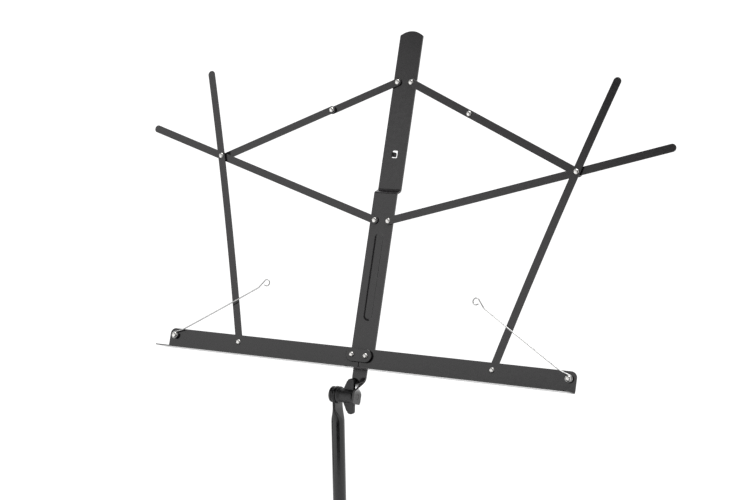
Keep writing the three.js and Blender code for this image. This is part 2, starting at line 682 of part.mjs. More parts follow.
// A clamp at the top of one tube that grips the next tube inside it.
function clutch(word, lower, upper) {
  const { wall, skirt, rise, straight, screwRise, boss } = CLUTCH;
  const outside = lower.r + wall;
  const foot = lower.top - skirt;
  const seat = lower.top + GAP;
  const body = turned([
    [lower.r + GAP, foot], [outside - 1, foot], [outside, foot + 2],
    [outside, lower.top + straight], [outside - wall / 2, lower.top + rise], [upper.r + GAP, lower.top + rise],
    [upper.r + GAP, seat], [lower.r + GAP, seat], [lower.r + GAP, foot],
  ], 24);
  const z = lower.top + screwRise;
  const reach = outside + boss;
  const housing = cut(join(body, frontBoss(upper.r + 1, reach, z)), frontDrill(upper.r - 3, reach, z));
  add(shaft, `${word}_clutch`, housing, blackPlastic());
  const tip = upper.r + GAP;
  add(shaft, `${word}_clutch_screw`, facingFront(thumbScrew(reach + GAP - tip), z, tip), blackPlastic());
}
clutch('upper', MIDDLE, INNER);
clutch('lower', OUTER, MIDDLE);

// ------------------------------------------------------------------- tripod

const legDrop = BASE.collarZ - BASE.footZ;
const legRun = BASE.footR - BASE.pivotR;
const LEG_LENGTH = Math.hypot(legRun, legDrop);
const SPLAY = Math.atan2(legRun, legDrop); // open leg's angle from vertical
const strutTopR = BASE.pivotR + BASE.link * Math.sin(SPLAY);
const strutTopZ = BASE.collarZ - BASE.link * Math.cos(SPLAY);
const HUB_Z = strutTopZ - BASE.link * Math.cos(SPLAY);

const around = (geometry, azimuth) => geometry.clone().rotateZ(rad(azimuth));
// A shape drawn in (radius, height), as thick as from..to across.
const across = (shape, from, to, segments = 6) =>
  sheet(shape, -to, -from, segments).rotateX(Math.PI / 2);
const pinHole = (r, z, from, to) =>
  rod(PIN.r + GAP, -to, -from).rotateX(Math.PI / 2).translate(r, 0, z);

// A ring round the outer tube with one ear for each leg.
function spider(z, { low, high }, earFrom, earTo) {
  const body = tube(COLLAR.r, OUTER.r + GAP, z + low, z + high);
  const bore = rod(OUTER.r + GAP, z + low - 1, z + high + 1, 24);
  const ear = across(strip(point(OUTER.r, z), point(BASE.pivotR, z), 2 * EAR.round, []), earFrom, earTo, 5);
  const pieces = LEG_AZIMUTHS.map((a) => around(ear, a));
  const holes = LEG_AZIMUTHS.map((a) => around(pinHole(BASE.pivotR, z, earFrom - 1, earTo + 1), a));
  return cut(join(body, ...pieces), bore, ...holes);
}

const screwZ = BASE.collarZ + COLLAR.screwRise;
const collarTip = OUTER.r + GAP;
const collar = cut(
  join(spider(BASE.collarZ, COLLAR, -EAR.half, EAR.half), frontBoss(collarTip + 1, COLLAR.boss, screwZ)),
  frontDrill(OUTER.r - 2, COLLAR.boss, screwZ),
);
const collarScrew = facingFront(thumbScrew(COLLAR.boss + GAP - collarTip), screwZ, collarTip);
add(shaft, 'leg_collar', collar, blackPlastic());
add(shaft, 'leg_collar_screw', collarScrew, blackPlastic());
add(shaft, 'strut_hub', spider(HUB_Z, STRUT_HUB, EAR.hubFrom, EAR.hubTo), blackPlastic());

// A leg is a channel whose open side faces the shaft when it is folded.
// It is built hanging straight down from its pivot, then swung out.
function legChannel() {
  const { half, wall, out, in: inward, over } = LEG;
  const section = new THREE.Shape([
    point(-inward, -half), point(out, -half), point(out, half), point(-inward, half),
    point(-inward, half - wall), point(out - wall, half - wall),
    point(out - wall, wall - half), point(-inward, wall - half),
  ]);
  const bottomEnd = FOOT_CUP - LEG_LENGTH;
  const body = sheet(section, bottomEnd, over);
  return cut(body, pinHole(0, 0, -half - 1, half + 1));
}

function foot() {
  const centre = -LEG_LENGTH;
  const R = BASE.footZ;
  const ball = Array.from({ length: 6 }, (_, i) => {
    const t = (i / 5) * (Math.PI / 2);
    return [i === 0 ? 0 : R * Math.sin(t), centre - R * Math.cos(t)];
  });
  const neck = FOOT_CUP - LEG_LENGTH - GAP;
  return turned([...ball, [R + 0.6, neck - 1.5], [R, neck], [0, neck]], 16);
}

const swung = (geometry) =>
  geometry.clone().rotateY(-SPLAY).translate(BASE.pivotR, 0, BASE.collarZ);
const strutShape = strip(point(BASE.pivotR, HUB_Z), point(strutTopR, strutTopZ), STRUT.width, [
  point(BASE.pivotR, HUB_Z), point(strutTopR, strutTopZ),
], PIN.r + GAP);
const strut = across(strutShape, STRUT.from, STRUT.to);
const pinHead = (face, way) => {
  const out = face + way * (GAP + PIN.headThick);
  return [[0, out], [PIN.head, out], [PIN.head, face + way * GAP], [PIN.r, face + way * GAP]];
};
const legPin = turned([...pinHead(-LEG.half, -1), ...pinHead(LEG.half, 1).reverse()], 16)
  .rotateX(Math.PI / 2).translate(BASE.pivotR, 0, BASE.collarZ);
const strutPin = turned([...pinHead(-EAR.hubTo, -1), [PIN.r, -STRUT.from], [0, -STRUT.from]], 16)
  .rotateX(Math.PI / 2).translate(BASE.pivotR, 0, HUB_Z);

LEG_AZIMUTHS.forEach((azimuth, i) => {
  const n = i + 1;
  add(shaft, `leg_${n}`, around(swung(legChannel()), azimuth), blackPaint());
  add(shaft, `foot_${n}`, around(swung(foot()), azimuth), rubber());
  add(shaft, `strut_${n}`, around(strut, azimuth), blackPaint());
  add(shaft, `leg_pin_${n}`, around(legPin, azimuth), steel());
  add(shaft, `strut_pin_${n}`, around(strutPin, azimuth), steel());
});

// ------------------------------------------------------------------ placing

// The desk leans back about the tilt bolt; the shaft stands on its own axis.
const lean = rad(DESK_LEAN);
desk.rotation.x = Math.PI / 2 - lean;
const boltFromDesk = new THREE.Vector3(0, TILT.y, TILT.z).applyEuler(desk.rotation);
desk.position.set(0, -boltFromDesk.y, TILT_HEIGHT - boltFromDesk.z);
shaft.position.set(SHAFT_X, 0, 0);
stand.updateMatrixWorld(true);
const box = new THREE.Box3().setFromObject(stand, true);
stand.position.y = -(box.min.y + box.max.y) / 2;
stand.position.x = -(box.min.x + box.max.x) / 2;
stand.position.z = -box.min.z;
stand.updateMatrixWorld(true);

// Pivot points in desk coordinates and in the shaft's, for whoever poses it.
stand.userData = {
  right: { bottom, diagonalRoot, linkRoot, uprightRoot, star, knee, wirePivot },
  tilt: TILT,
  base: { pivotR: BASE.pivotR, collarZ: BASE.collarZ, hubZ: HUB_Z, splay: SPLAY, link: BASE.link },
};

export default stand;
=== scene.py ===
import json
import math

import bmesh
import bpy
from mathutils import Matrix, Vector, geometry


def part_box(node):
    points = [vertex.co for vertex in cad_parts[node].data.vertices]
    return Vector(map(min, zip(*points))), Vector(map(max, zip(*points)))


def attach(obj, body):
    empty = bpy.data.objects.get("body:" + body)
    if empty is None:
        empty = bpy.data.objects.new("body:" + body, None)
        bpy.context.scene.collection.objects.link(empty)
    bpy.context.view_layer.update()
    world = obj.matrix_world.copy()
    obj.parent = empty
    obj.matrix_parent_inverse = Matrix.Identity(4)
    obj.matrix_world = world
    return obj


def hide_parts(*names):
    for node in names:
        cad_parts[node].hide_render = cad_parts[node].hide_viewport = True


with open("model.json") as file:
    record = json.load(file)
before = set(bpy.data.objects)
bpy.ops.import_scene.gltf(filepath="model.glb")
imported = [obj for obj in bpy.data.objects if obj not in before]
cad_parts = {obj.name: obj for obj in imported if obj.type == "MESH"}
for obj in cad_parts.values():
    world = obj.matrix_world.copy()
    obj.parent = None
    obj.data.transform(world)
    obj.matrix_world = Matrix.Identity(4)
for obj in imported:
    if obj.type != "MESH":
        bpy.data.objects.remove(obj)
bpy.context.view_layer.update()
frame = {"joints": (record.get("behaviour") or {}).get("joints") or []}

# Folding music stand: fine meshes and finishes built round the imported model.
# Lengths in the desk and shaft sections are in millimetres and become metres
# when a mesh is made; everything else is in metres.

MM = 0.001
JOINTS = {j["name"]: j for j in frame["joints"]}


def joint_point(name):
    return Vector(JOINTS[name]["pos_m"])


# The desk's own frame: x right, y up along the desk, z out of its front.
DESK_ORIGIN = (joint_point("tray_fold_left") + joint_point("tray_fold_right")) / 2
DESK_Z = Vector(JOINTS["tray_fold_right"]["axis"]).normalized()
DESK_X = Vector((1, 0, 0))
DESK_Y = DESK_Z.cross(DESK_X)
TILT_POINT = joint_point("desk_tilt")
SHAFT_X = -22  # the shaft stands to the left of the desk's middle
SHAFT_ORIGIN = Vector((SHAFT_X * MM, TILT_POINT.y, 0))


def desk_matrix():
    turn = Matrix((DESK_X, DESK_Y, DESK_Z)).transposed().to_4x4()
    return Matrix.Translation(DESK_ORIGIN) @ turn @ Matrix.Scale(MM, 4)


ON_DESK = desk_matrix()
ON_SHAFT = Matrix.Translation(SHAFT_ORIGIN) @ Matrix.Scale(MM, 4)


def desk_plan(name):
    """A joint's place in the desk's x-y plane, in millimetres, for the right side."""
    p = ON_DESK.inverted() @ joint_point(name)
    return Vector((p.x, p.y))


# ---------------------------------------------------------------- the camera

CAMERA = {"azimuth": 28.55, "elevation": 9.75, "roll": -0.96, "distance": 1.5514,
          "lens": 75.81, "aim": Vector((0.0168, 0, 0.1087))}


def make_camera():
    a = math.radians(CAMERA["azimuth"])
    e = math.radians(CAMERA["elevation"])
    roll = math.radians(CAMERA["roll"])
    back = Vector((math.sin(a) * math.cos(e), -math.cos(a) * math.cos(e), math.sin(e)))
    right = Vector((math.cos(a), math.sin(a), 0))
    up = back.cross(right)
    tilted_right = right * math.cos(roll) + up * math.sin(roll)
    tilted_up = up * math.cos(roll) - right * math.sin(roll)
    data = bpy.data.cameras.new("camera")
    data.sensor_width = 36
    data.lens = CAMERA["lens"]
    camera = bpy.data.objects.new("camera", data)
    bpy.context.scene.collection.objects.link(camera)
    turn = Matrix((tilted_right, tilted_up, back)).transposed().to_4x4()
    place = DESK_ORIGIN + CAMERA["aim"] + back * CAMERA["distance"]
    camera.matrix_world = Matrix.Translation(place) @ turn
    bpy.context.scene.camera = camera


make_camera()

# ----------------------------------------------------------------- materials

NOISE_SPAN = (0.3, 0.7)  # the part of a noise's range that carries nearly all of it
RANGE_INPUTS = ("From Min", "From Max", "To Min", "To Max")


class Finish:
    """A procedural material whose pattern is laid out in object space, in metres."""

    def __init__(self, name, color, metallic, roughness):
        self.material = bpy.data.materials.new(name)
        self.material.use_nodes = True
        self.nodes = self.material.node_tree.nodes
        self.links = self.material.node_tree.links
        self.shader = self.nodes["Principled BSDF"]
        self.shader.inputs["Base Color"].default_value = (*color, 1)
        self.shader.inputs["Metallic"].default_value = metallic
        self.shader.inputs["Roughness"].default_value = roughness
        self.place = self.nodes.new("ShaderNodeTexCoord").outputs["Object"]
        self.normal = None

    def node(self, kind, **inputs):
        made = self.nodes.new(kind)
        for key, value in inputs.items():
            socket = made.inputs[key.replace("_", " ")]
            if isinstance(value, bpy.types.NodeSocket):
                self.links.new(value, socket)
            else:
                socket.default_value = value
        return made

    def noise(self, size, detail):
        """Noise whose features are about size metres across."""
        made = self.node("ShaderNodeTexNoise", Vector=self.place, Scale=1 / size, Detail=detail)
        return made.outputs["Fac"]

    def color(self, value, dark, light):
        ramp = self.nodes.new("ShaderNodeValToRGB")
        for stop, place, shade in zip(ramp.color_ramp.elements, NOISE_SPAN, (dark, light)):
            stop.position = place
            stop.color = (*shade, 1)
        self.links.new(value, ramp.inputs["Fac"])
        self.links.new(ramp.outputs["Color"], self.shader.inputs["Base Color"])

    def rough(self, value, low, high):
        made = self.node("ShaderNodeMapRange", Value=value)
        for key, number in zip(RANGE_INPUTS, (*NOISE_SPAN, low, high)):
            made.inputs[key].default_value = number
        self.links.new(made.outputs["Result"], self.shader.inputs["Roughness"])

    def bump(self, value, height):
        made = self.node("ShaderNodeBump", Height=value, Distance=height, Strength=1.0)
        if self.normal is not None:
            self.links.new(self.normal, made.inputs["Normal"])
        self.normal = made.outputs["Normal"]
        self.links.new(self.normal, self.shader.inputs["Normal"])


def satin_paint(name, dark, light):
    """Powder coat: fine orange peel, faint mottling and a slightly uneven gloss."""
    finish = Finish(name, light, 0, 0.18)
    finish.color(finish.noise(0.0045, 4), dark, light)
    finish.rough(finish.noise(0.003, 3), 0.14, 0.22)
    finish.bump(finish.noise(0.0011, 2), 0.000006)
    finish.bump(finish.noise(0.00035, 2), 0.000003)
    return finish.material


def moulded_plastic(name, dark, light):
    finish = Finish(name, light, 0, 0.55)
    finish.color(finish.noise(0.012, 3), dark, light)
    finish.rough(finish.noise(0.003, 3), 0.46, 0.6)
    finish.bump(finish.noise(0.0005, 3), 0.00002)
    return finish.material


def soft_rubber(name, dark, light):
    finish = Finish(name, light, 0, 0.85)
    finish.color(finish.noise(0.006, 4), dark, light)
    finish.rough(finish.noise(0.002, 3), 0.75, 0.92)
    finish.bump(finish.noise(0.0007, 4), 0.00004)
    return finish.material


def bright_plate(name, dark, light):
    """Bright plated steel with hairline handling marks."""
    finish = Finish(name, light, 1, 0.2)
    finish.color(finish.noise(0.0015, 3), dark, light)
    finish.rough(finish.noise(0.0008, 4), 0.26, 0.4)
    finish.bump(finish.noise(0.0003, 2), 0.000004)
    return finish.material


def drawn_wire(name, dark, light):
    finish = Finish(name, light, 1, 0.22)
    finish.color(finish.noise(0.004, 3), dark, light)
    finish.rough(finish.noise(0.0012, 3), 0.16, 0.32)
    finish.bump(finish.noise(0.0002, 2), 0.000003)
    return finish.material


BLACK = satin_paint("black_powder_coat", (0.0125, 0.0115, 0.0125), (0.0165, 0.0152, 0.0162))
TUBE = satin_paint("tube_powder_coat", (0.0042, 0.004, 0.0044), (0.0062, 0.0058, 0.0064))
PLASTIC = moulded_plastic("moulded_black_plastic", (0.0115, 0.0112, 0.0122), (0.017, 0.0165, 0.0178))
RUBBER = soft_rubber("black_rubber", (0.008, 0.008, 0.008), (0.015, 0.015, 0.014))
PLATED = bright_plate("plated_steel", (0.6, 0.59, 0.57), (0.8, 0.79, 0.77))
WIRE = drawn_wire("drawn_steel_wire", (0.4, 0.4, 0.4), (0.52, 0.52, 0.51))

# --------------------------------------------------------------- mesh helpers


class Body:
    """Points and faces of one closed surface, in millimetres."""

    def __init__(self, points, faces):
        self.points = [Vector(p) for p in points]
        self.faces = [tuple(f) for f in faces]

    def moved(self, matrix):
        return Body([matrix @ p for p in self.points], self.faces)

    def shifted(self, x=0, y=0, z=0):
        return self.moved(Matrix.Translation((x, y, z)))

    def turned(self, degrees, axis):
        return self.moved(Matrix.Rotation(math.radians(degrees), 4, axis))

    def mirrored(self, side):
        if side > 0:
            return self
        points = [Vector((-p.x, p.y, p.z)) for p in self.points]
        return Body(points, [f[::-1] for f in self.faces])


def make_object(name, body, matrix):
    mesh = bpy.data.meshes.new(name)
    mesh.from_pydata([matrix @ p for p in body.points], [], body.faces)
    work = bmesh.new()
    work.from_mesh(mesh)
    bmesh.ops.remove_doubles(work, verts=work.verts, dist=1e-7)
    bmesh.ops.recalc_face_normals(work, faces=work.faces)
    work.to_mesh(mesh)
    work.free()
    made = bpy.data.objects.new(name, mesh)
    bpy.context.scene.collection.objects.link(made)
    return made


def finish_piece(made, material, body, node, angle):
    """Smooth shading, one material, and its place in the frame."""
    mesh = made.data
    mesh.polygons.foreach_set("use_smooth", [True] * len(mesh.polygons))
    mesh.set_sharp_from_angle(angle=math.radians(angle))
    mesh.materials.clear()
    mesh.materials.append(material)
    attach(made, body)
    if node:
        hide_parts(node)
    return made


def round_edges(made, width):
    modifier = made.modifiers.new("round_edges", "BEVEL")
    modifier.width = width * MM
    modifier.segments = 2
    modifier.limit_method = "ANGLE"
    modifier.angle_limit = math.radians(40)
    return made


def piece(node, shape, material, body, matrix=ON_DESK, edge=0.0, angle=38):
    made = make_object("fine_" + node, shape, matrix)
    finish_piece(made, material, body, node, angle)
    if edge:
        round_edges(made, edge)
    return made


def lathe(profile, segments=48):
    """A turned body round z from (radius, height) points, from the axis back to it,
    or closed on itself when the first point comes back at the end."""
    closed = profile[0] == profile[-1]
    points = profile[:-1] if closed else profile
    verts, rows = [], []
    for r, h in points:
        if r < 1e-6:
            rows.append([len(verts)] * segments)
            verts.append((0, 0, h))
            continue
        rows.append([len(verts) + k for k in range(segments)])
        for k in range(segments):
            t = 2 * math.pi * k / segments
            verts.append((r * math.cos(t), r * math.sin(t), h))
    faces = []
    count = len(rows)
    for i in range(count if closed else count - 1):
        a, b = rows[i], rows[(i + 1) % count]
        for k in range(segments):
            n = (k + 1) % segments
            corner = [a[k], a[n], b[n], b[k]]
            face = [v for j, v in enumerate(corner) if v != corner[j - 1]]
            if len(face) > 2:
                faces.append(face)
    return Body(verts, faces)


def skin(rings):
    """A body through rings with as many points each; its two ends are flat."""
    n = len(rings[0])
    last = (len(rings) - 1) * n
    verts = [p for ring in rings for p in ring]
    faces = []
    for low in range(0, last, n):
        high = low + n
        for i in range(n):
            j = (i + 1) % n
            faces.append((low + i, low + j, high + j, high + i))
    faces.append(tuple(range(n))[::-1])
    faces.append(tuple(last + i for i in range(n)))
    return Body(verts, faces)


def arc(x, y, r, start, end, steps=12):
    """Points on a circle, with the angles in degrees."""
    made = []
    for k in range(steps + 1):
        t = math.radians(start + (end - start) * k / steps)
        made.append((x + r * math.cos(t), y + r * math.sin(t)))
    return made


def circle(x, y, r, steps=32):
    return arc(x, y, r, 0, 360, steps)[:-1]


def obround(a, b, width, steps=16):
    """The outline of a strip with round ends whose middle line joins a and b."""
    angle = math.degrees(math.atan2(b[1] - a[1], b[0] - a[0]))
    return (arc(*a, width / 2, angle + 90, angle + 270, steps)
            + arc(*b, width / 2, angle - 90, angle + 90, steps))


def inside(point, loop):
    x, y = point
    odd = False
    for (x0, y0), (x1, y1) in zip(loop, loop[1:] + loop[:1]):
        if (y0 > y) != (y1 > y) and x < (x1 - x0) * (y - y0) / (y1 - y0) + x0:
            odd = not odd
    return odd


def resampled(loop, step):
    """The same closed loop, with a point at least every step."""
    made = []
    for (x0, y0), (x1, y1) in zip(loop, loop[1:] + loop[:1]):
        count = max(1, math.ceil(math.hypot(x1 - x0, y1 - y0) / step - 1e-6))
        made += [(x0 + (x1 - x0) * k / count, y0 + (y1 - y0) * k / count) for k in range(count)]
    return made


def sheet(outline, holes, place, grid=(), step=None):
    """A sheet cut to an outline with holes. place(x, y, side) gives each point's
    position on its back (side 0) and front (side 1); grid holds extra points."""
    loops = [resampled(loop, step) if step else loop for loop in [outline, *holes]]
    points, edges = [], []
    for loop in loops:
        first = len(points)
        points += loop
        edges += [(first + k, first + (k + 1) % len(loop)) for k in range(len(loop))]
    for p in grid:
        if inside(p, loops[0]) and not any(inside(p, hole) for hole in loops[1:]):
            points.append(p)
    corners = [Vector(p) for p in points]
    verts, _, faces, *_ = geometry.delaunay_2d_cdt(corners, edges, [], 0, 1e-5)
    kept = []
    for f in faces:
        x = sum(verts[v].x for v in f) / len(f)
        y = sum(verts[v].y for v in f) / len(f)
        if inside((x, y), loops[0]) and not any(inside((x, y), hole) for hole in loops[1:]):
            kept.append(tuple(f))
    rim = {}
    for f in kept:
        for a, b in zip(f, f[1:] + f[:1]):
            if (b, a) in rim:
                del rim[(b, a)]
            else:
                rim[(a, b)] = True
    count = len(verts)
    back = [place(v.x, v.y, 0) for v in verts]
    front = [place(v.x, v.y, 1) for v in verts]
    solid = [f[::-1] for f in kept] + [tuple(v + count for v in f) for f in kept]
    solid += [(a, b, b + count, a + count) for a, b in rim]
    return Body(back + front, solid)


def flat(low, high):
    return lambda x, y, side: Vector((x, y, high if side else low))


def ease(t):
    t = min(max(t, 0), 1)
    return t * t * (3 - 2 * t)


def dome(base, height, radius, steps=8):
    """A rivet head: a short upright rim below a low dome."""
    rim = 0.16 * height
    rise = height - rim
    made = [(radius - 0.12, base), (radius, base + 0.12)]
    for k in range(steps):
        t = math.pi / 2 * k / steps
        made.append((radius * math.cos(t) ** 0.9, base + rim + rise * math.sin(t)))
    return made + [(0, base + height)]


# ------------------------------------------------------------------- the desk

THICK = 1.0  # of the arms' and trays' sheet
GAP = 0.3  # between neighbouring pieces
ROD = 1.5  # radius of a rivet's shank
HEAD = 2.6  # radius of a rivet's head
HOLE = 1.8  # radius of the hole a rivet passes
ARM = 8  # width of an arm
# Back face of each layer, in front of the bar's lower face
LAYER = {"inner_link": -6.2, "outer_link": -3.75, "diagonal": 0.3, "upright": 2.8,
         "tray": 4.1, "plate": 6.7}
TRAY_FRONT = LAYER["tray"] + THICK

ROOT = desk_plan("tray_fold_right")
DIAGONAL_ROOT = desk_plan("diagonal_swing_right")
LINK_ROOT = desk_plan("inner_link_swing_right")
UPRIGHT_ROOT = desk_plan("upright_swing_right")
STAR = desk_plan("outer_link_swing_right")
WIRE_ROOT = desk_plan("page_wire_swing_right")
LINK_LENGTH = (LINK_ROOT - STAR).length
LINK_EXCESS = (DIAGONAL_ROOT - STAR).length - (LINK_ROOT - DIAGONAL_ROOT).length
KNEE = LINK_ROOT + (STAR - LINK_ROOT) * ((LINK_LENGTH - LINK_EXCESS) / 2 / LINK_LENGTH)
UPRIGHT_REACH = 303.8 - ARM / 2
UPRIGHT_BOW = 2.6
DIAGONAL_TIP = DIAGONAL_ROOT + (STAR - DIAGONAL_ROOT).normalized() * (301.8 - ARM / 2)

BAR_WIDTH = 26
BAR_THICK = 2
BAR_TOP = 339
BAR_CROWN = 5  # how far the rounded top rises above its shoulders
STEP_LOW, STEP_HIGH, STEP_BACK = 166.7, 172.2, 7
BEAD_LOW, BEAD_HIGH, BEAD_WIDTH, BEAD_DEPTH = 36, 126, 10, 0.6
TONGUE, TONGUE_END = 15.5, -48.5
TWIST_TOP, TWIST_END = -20.5, -39
WINDOW_Y, WINDOW_WIDTH, WINDOW_HEIGHT = 208.8, 6.6, 8
TILT_Y, TILT_Z = -41, -1
BOLT_R = 2.5
PLATE_THICK, PLATE_HEIGHT = 1.2, 13.4


def bar_place(x, y, side):
    """Where the flat blank's point lands once the bar is pressed and twisted."""
    back = STEP_BACK * ease((y - STEP_LOW) / (STEP_HIGH - STEP_LOW))
    slope_at = 0.05
    further = STEP_BACK * ease((y + slope_at - STEP_LOW) / (STEP_HIGH - STEP_LOW))
    slope = (further - back) / slope_at
    lean = 1 / math.hypot(1, slope)
    run = min(max(y, BEAD_LOW + BEAD_WIDTH / 2), BEAD_HIGH - BEAD_WIDTH / 2)
    off_bead = math.hypot(x, y - run)
    dent = BEAD_DEPTH * ease((BEAD_WIDTH / 2 - off_bead) / 1.5)
    through = -BAR_THICK * (1 - side)
    z = -back - dent + through * lean
    y_placed = y + through * slope * lean
    turn = math.pi / 2 * ease((TWIST_TOP - y) / (TWIST_TOP - TWIST_END))
    lift = z - TILT_Z
    return Vector((
        x * math.cos(turn) - lift * math.sin(turn),
        y_placed,
        TILT_Z + x * math.sin(turn) + lift * math.cos(turn),
    ))


def bar_outline():
    half, neck = BAR_WIDTH / 2, TONGUE / 2
    rim = BAR_TOP - BAR_CROWN
    crown_r = (half ** 2 + BAR_CROWN ** 2) / 2 / BAR_CROWN
    spread = math.degrees(math.asin((half - 1.6) / crown_r))
    right = arc(neck - 3, TONGUE_END + 3, 3, -90, 0, 8)
    right += arc(neck + 2.2, -11.2, 2.2, 180, 90, 6)
    right += arc(half - 2, -7, 2, -90, 0, 6)
    right += arc(half - 1.6, rim - 0.4, 1.6, 0, 90 - spread, 6)
    top = arc(0, BAR_TOP - crown_r, crown_r, 90 - spread, 90 + spread, 24)
    left = [(-x, y) for x, y in reversed(right)]
    return right + top[1:-1] + left


def rounded_box(x, y, width, height, r):
    made = []
    for k, (sx, sy) in enumerate(((1, 1), (-1, 1), (-1, -1), (1, -1))):
        made += arc(x + sx * (width / 2 - r), y + sy * (height / 2 - r), r, 90 * k, 90 * k + 90, 5)
    return made


def grid_points(x_half, low, high, step_x, step_y):
    """Extra points for a stretch of sheet that is bent, a hair off the outline's own."""
    made = []
    columns = math.ceil(x_half / step_x)
    rows = round((high - low) / step_y)
    for i in range(-columns, columns + 1):
        for j in range(rows + 1):
            made.append((i * step_x + 0.013, low + j * (high - low) / rows))
    return made


def tab_outline():
    """The lanced tab laid flat: x across it, y away from its root in the bar."""
    half, reach, r = 2.5, 5.6, 1.6
    return ([(half, -0.4)] + arc(half - r, reach - r, r, 0, 90, 8) + arc(r - half, reach - r, r, 90, 180, 8)
            + [(-half, -0.4)])


def tab_place(x, y, side):
    """The tab leaves the window's left side and curls round to the rear."""
    turn_r, full = 1.4, math.radians(58)
    turn = min(max(y, 0) / turn_r, full)
    r = turn_r - (0 if side else 1.1)
    run = y - turn * turn_r
    out = turn_r * math.sin(turn) + run * math.cos(turn) - (turn_r - r) * math.sin(turn)
    depth = turn_r - r * math.cos(turn) + run * math.sin(turn)
    return Vector((out - WINDOW_WIDTH / 2, WINDOW_Y + x, -STEP_BACK - 0.5 - depth))


def make_bar():
    holes = [rounded_box(0, WINDOW_Y, WINDOW_WIDTH, WINDOW_HEIGHT, 1.4), circle(0, TILT_Y, BOLT_R + GAP, 28)]
    for side in (-1, 1):
        for y in (ROOT.y, DIAGONAL_ROOT.y, LINK_ROOT.y):
            holes.append(circle(side * ROOT.x, y, HOLE, 24))
    grid = grid_points(BAR_WIDTH / 2 - 0.4, STEP_LOW - 0.5, STEP_HIGH + 0.5, 2, 0.5)
    grid += grid_points(BEAD_WIDTH / 2 + 0.6, BEAD_LOW - 0.6, BEAD_HIGH + 0.6, 0.55, 0.9)
    grid += grid_points(TONGUE / 2 - 0.35, TWIST_END - 0.4, TWIST_TOP + 0.4, 1.5, 0.6)
    shape = sheet(bar_outline(), holes, bar_place, grid, step=1.2)
    piece("centre_bar", shape, BLACK, "desk_bar", edge=0.35, angle=30)
    tab = sheet(tab_outline(), [], tab_place, grid_points(2, 0, 7, 1, 0.5))
    made = make_object("window_tab", tab, ON_DESK)
    finish_piece(made, BLACK, "desk_bar", None, 30)
    round_edges(made, 0.25)


make_bar()

PLATE_TOP = LAYER["plate"] + PLATE_THICK


def make_plate():
    outline = obround((-ROOT.x, 0), (ROOT.x, 0), PLATE_HEIGHT, 24)
    holes = [circle(side * ROOT.x, 0, HOLE, 24) for side in (-1, 1)]
    shape = sheet(outline, holes, flat(LAYER["plate"], PLATE_TOP))
    piece("bracket_plate", shape, BLACK, "desk_bar", edge=0.4)


make_plate()


def shoulder(r, low, high):
    """A plain length of a turned rivet with softened rims."""
    soft = min(0.12, (high - low) / 4)
    return [(r - soft, low), (r, low + soft), (r, high - soft), (r - soft, high)]


SPACER = HEAD + 0.7  # radius of the bracket rivets' spacing shoulders


def bar_tail(back):
    """The start of a rivet's profile: the flat head behind the bar."""
    return [(0, back - 1), (HEAD - 0.2, back - 1), (HEAD, back - 0.8), (HEAD, back - GAP), (ROD, back - GAP)]


BRACKET_RIVET = bar_tail(-BAR_THICK) + [
    (ROD, GAP), *shoulder(SPACER, GAP, LAYER["tray"] - GAP), (ROD, LAYER["tray"] - GAP),
    (ROD, TRAY_FRONT + GAP), *shoulder(SPACER, TRAY_FRONT + GAP, LAYER["plate"] - GAP),
    (ROD, LAYER["plate"] - GAP), (ROD, PLATE_TOP + GAP), *dome(PLATE_TOP + GAP, 1.3, HEAD)]
DIAGONAL_FRONT = LAYER["diagonal"] + THICK
DIAGONAL_RIVET = bar_tail(-BAR_THICK) + [
    (ROD, DIAGONAL_FRONT + GAP), *dome(DIAGONAL_FRONT + GAP, 0.95, HEAD)]
INNER_FRONT = LAYER["inner_link"] + THICK
LINK_RIVET = bar_tail(-STEP_BACK - BAR_THICK) + [
    (ROD, INNER_FRONT + GAP), *dome(INNER_FRONT + GAP, 0.9, HEAD)]
UPRIGHT_FRONT = LAYER["upright"] + THICK
OUTER_FRONT = LAYER["outer_link"] + THICK
STAR_FRONT = [
    (0, DIAGONAL_FRONT + GAP), *shoulder(HEAD, DIAGONAL_FRONT + GAP, LAYER["upright"] - GAP),
    (ROD, LAYER["upright"] - GAP), (ROD, UPRIGHT_FRONT + GAP), *dome(UPRIGHT_FRONT + GAP, 1.2, HEAD)]
STAR_REAR = [
    (0, LAYER["outer_link"] - GAP - 0.5), (HEAD - 0.2, LAYER["outer_link"] - GAP - 0.5),
    (HEAD, LAYER["outer_link"] - GAP - 0.3), (HEAD, LAYER["outer_link"] - GAP),
    (ROD, LAYER["outer_link"] - GAP), (ROD, OUTER_FRONT + GAP),
    *shoulder(HEAD, OUTER_FRONT + GAP, LAYER["diagonal"] - GAP), (ROD, LAYER["diagonal"] - GAP),
    (ROD, DIAGONAL_FRONT), (0, DIAGONAL_FRONT)]
KNEE_FRONT = [
    (0, INNER_FRONT + GAP), *shoulder(HEAD, INNER_FRONT + GAP, LAYER["outer_link"] - GAP),
    (ROD, LAYER["outer_link"] - GAP), (ROD, OUTER_FRONT + GAP), *dome(OUTER_FRONT + GAP, 1.3, HEAD)]
KNEE_REAR = [
    (0, LAYER["inner_link"] - GAP - 0.2), *shoulder(HEAD, LAYER["inner_link"] - GAP - 0.2,
                                                    LAYER["inner_link"] - GAP),
    (ROD, LAYER["inner_link"] - GAP), (ROD, INNER_FRONT), (0, INNER_FRONT)]
UPRIGHT_RIVET = [
    (0, LAYER["upright"]), (ROD, LAYER["upright"]), (ROD, TRAY_FRONT + GAP),
    *dome(TRAY_FRONT + GAP, 1.0, HEAD)]

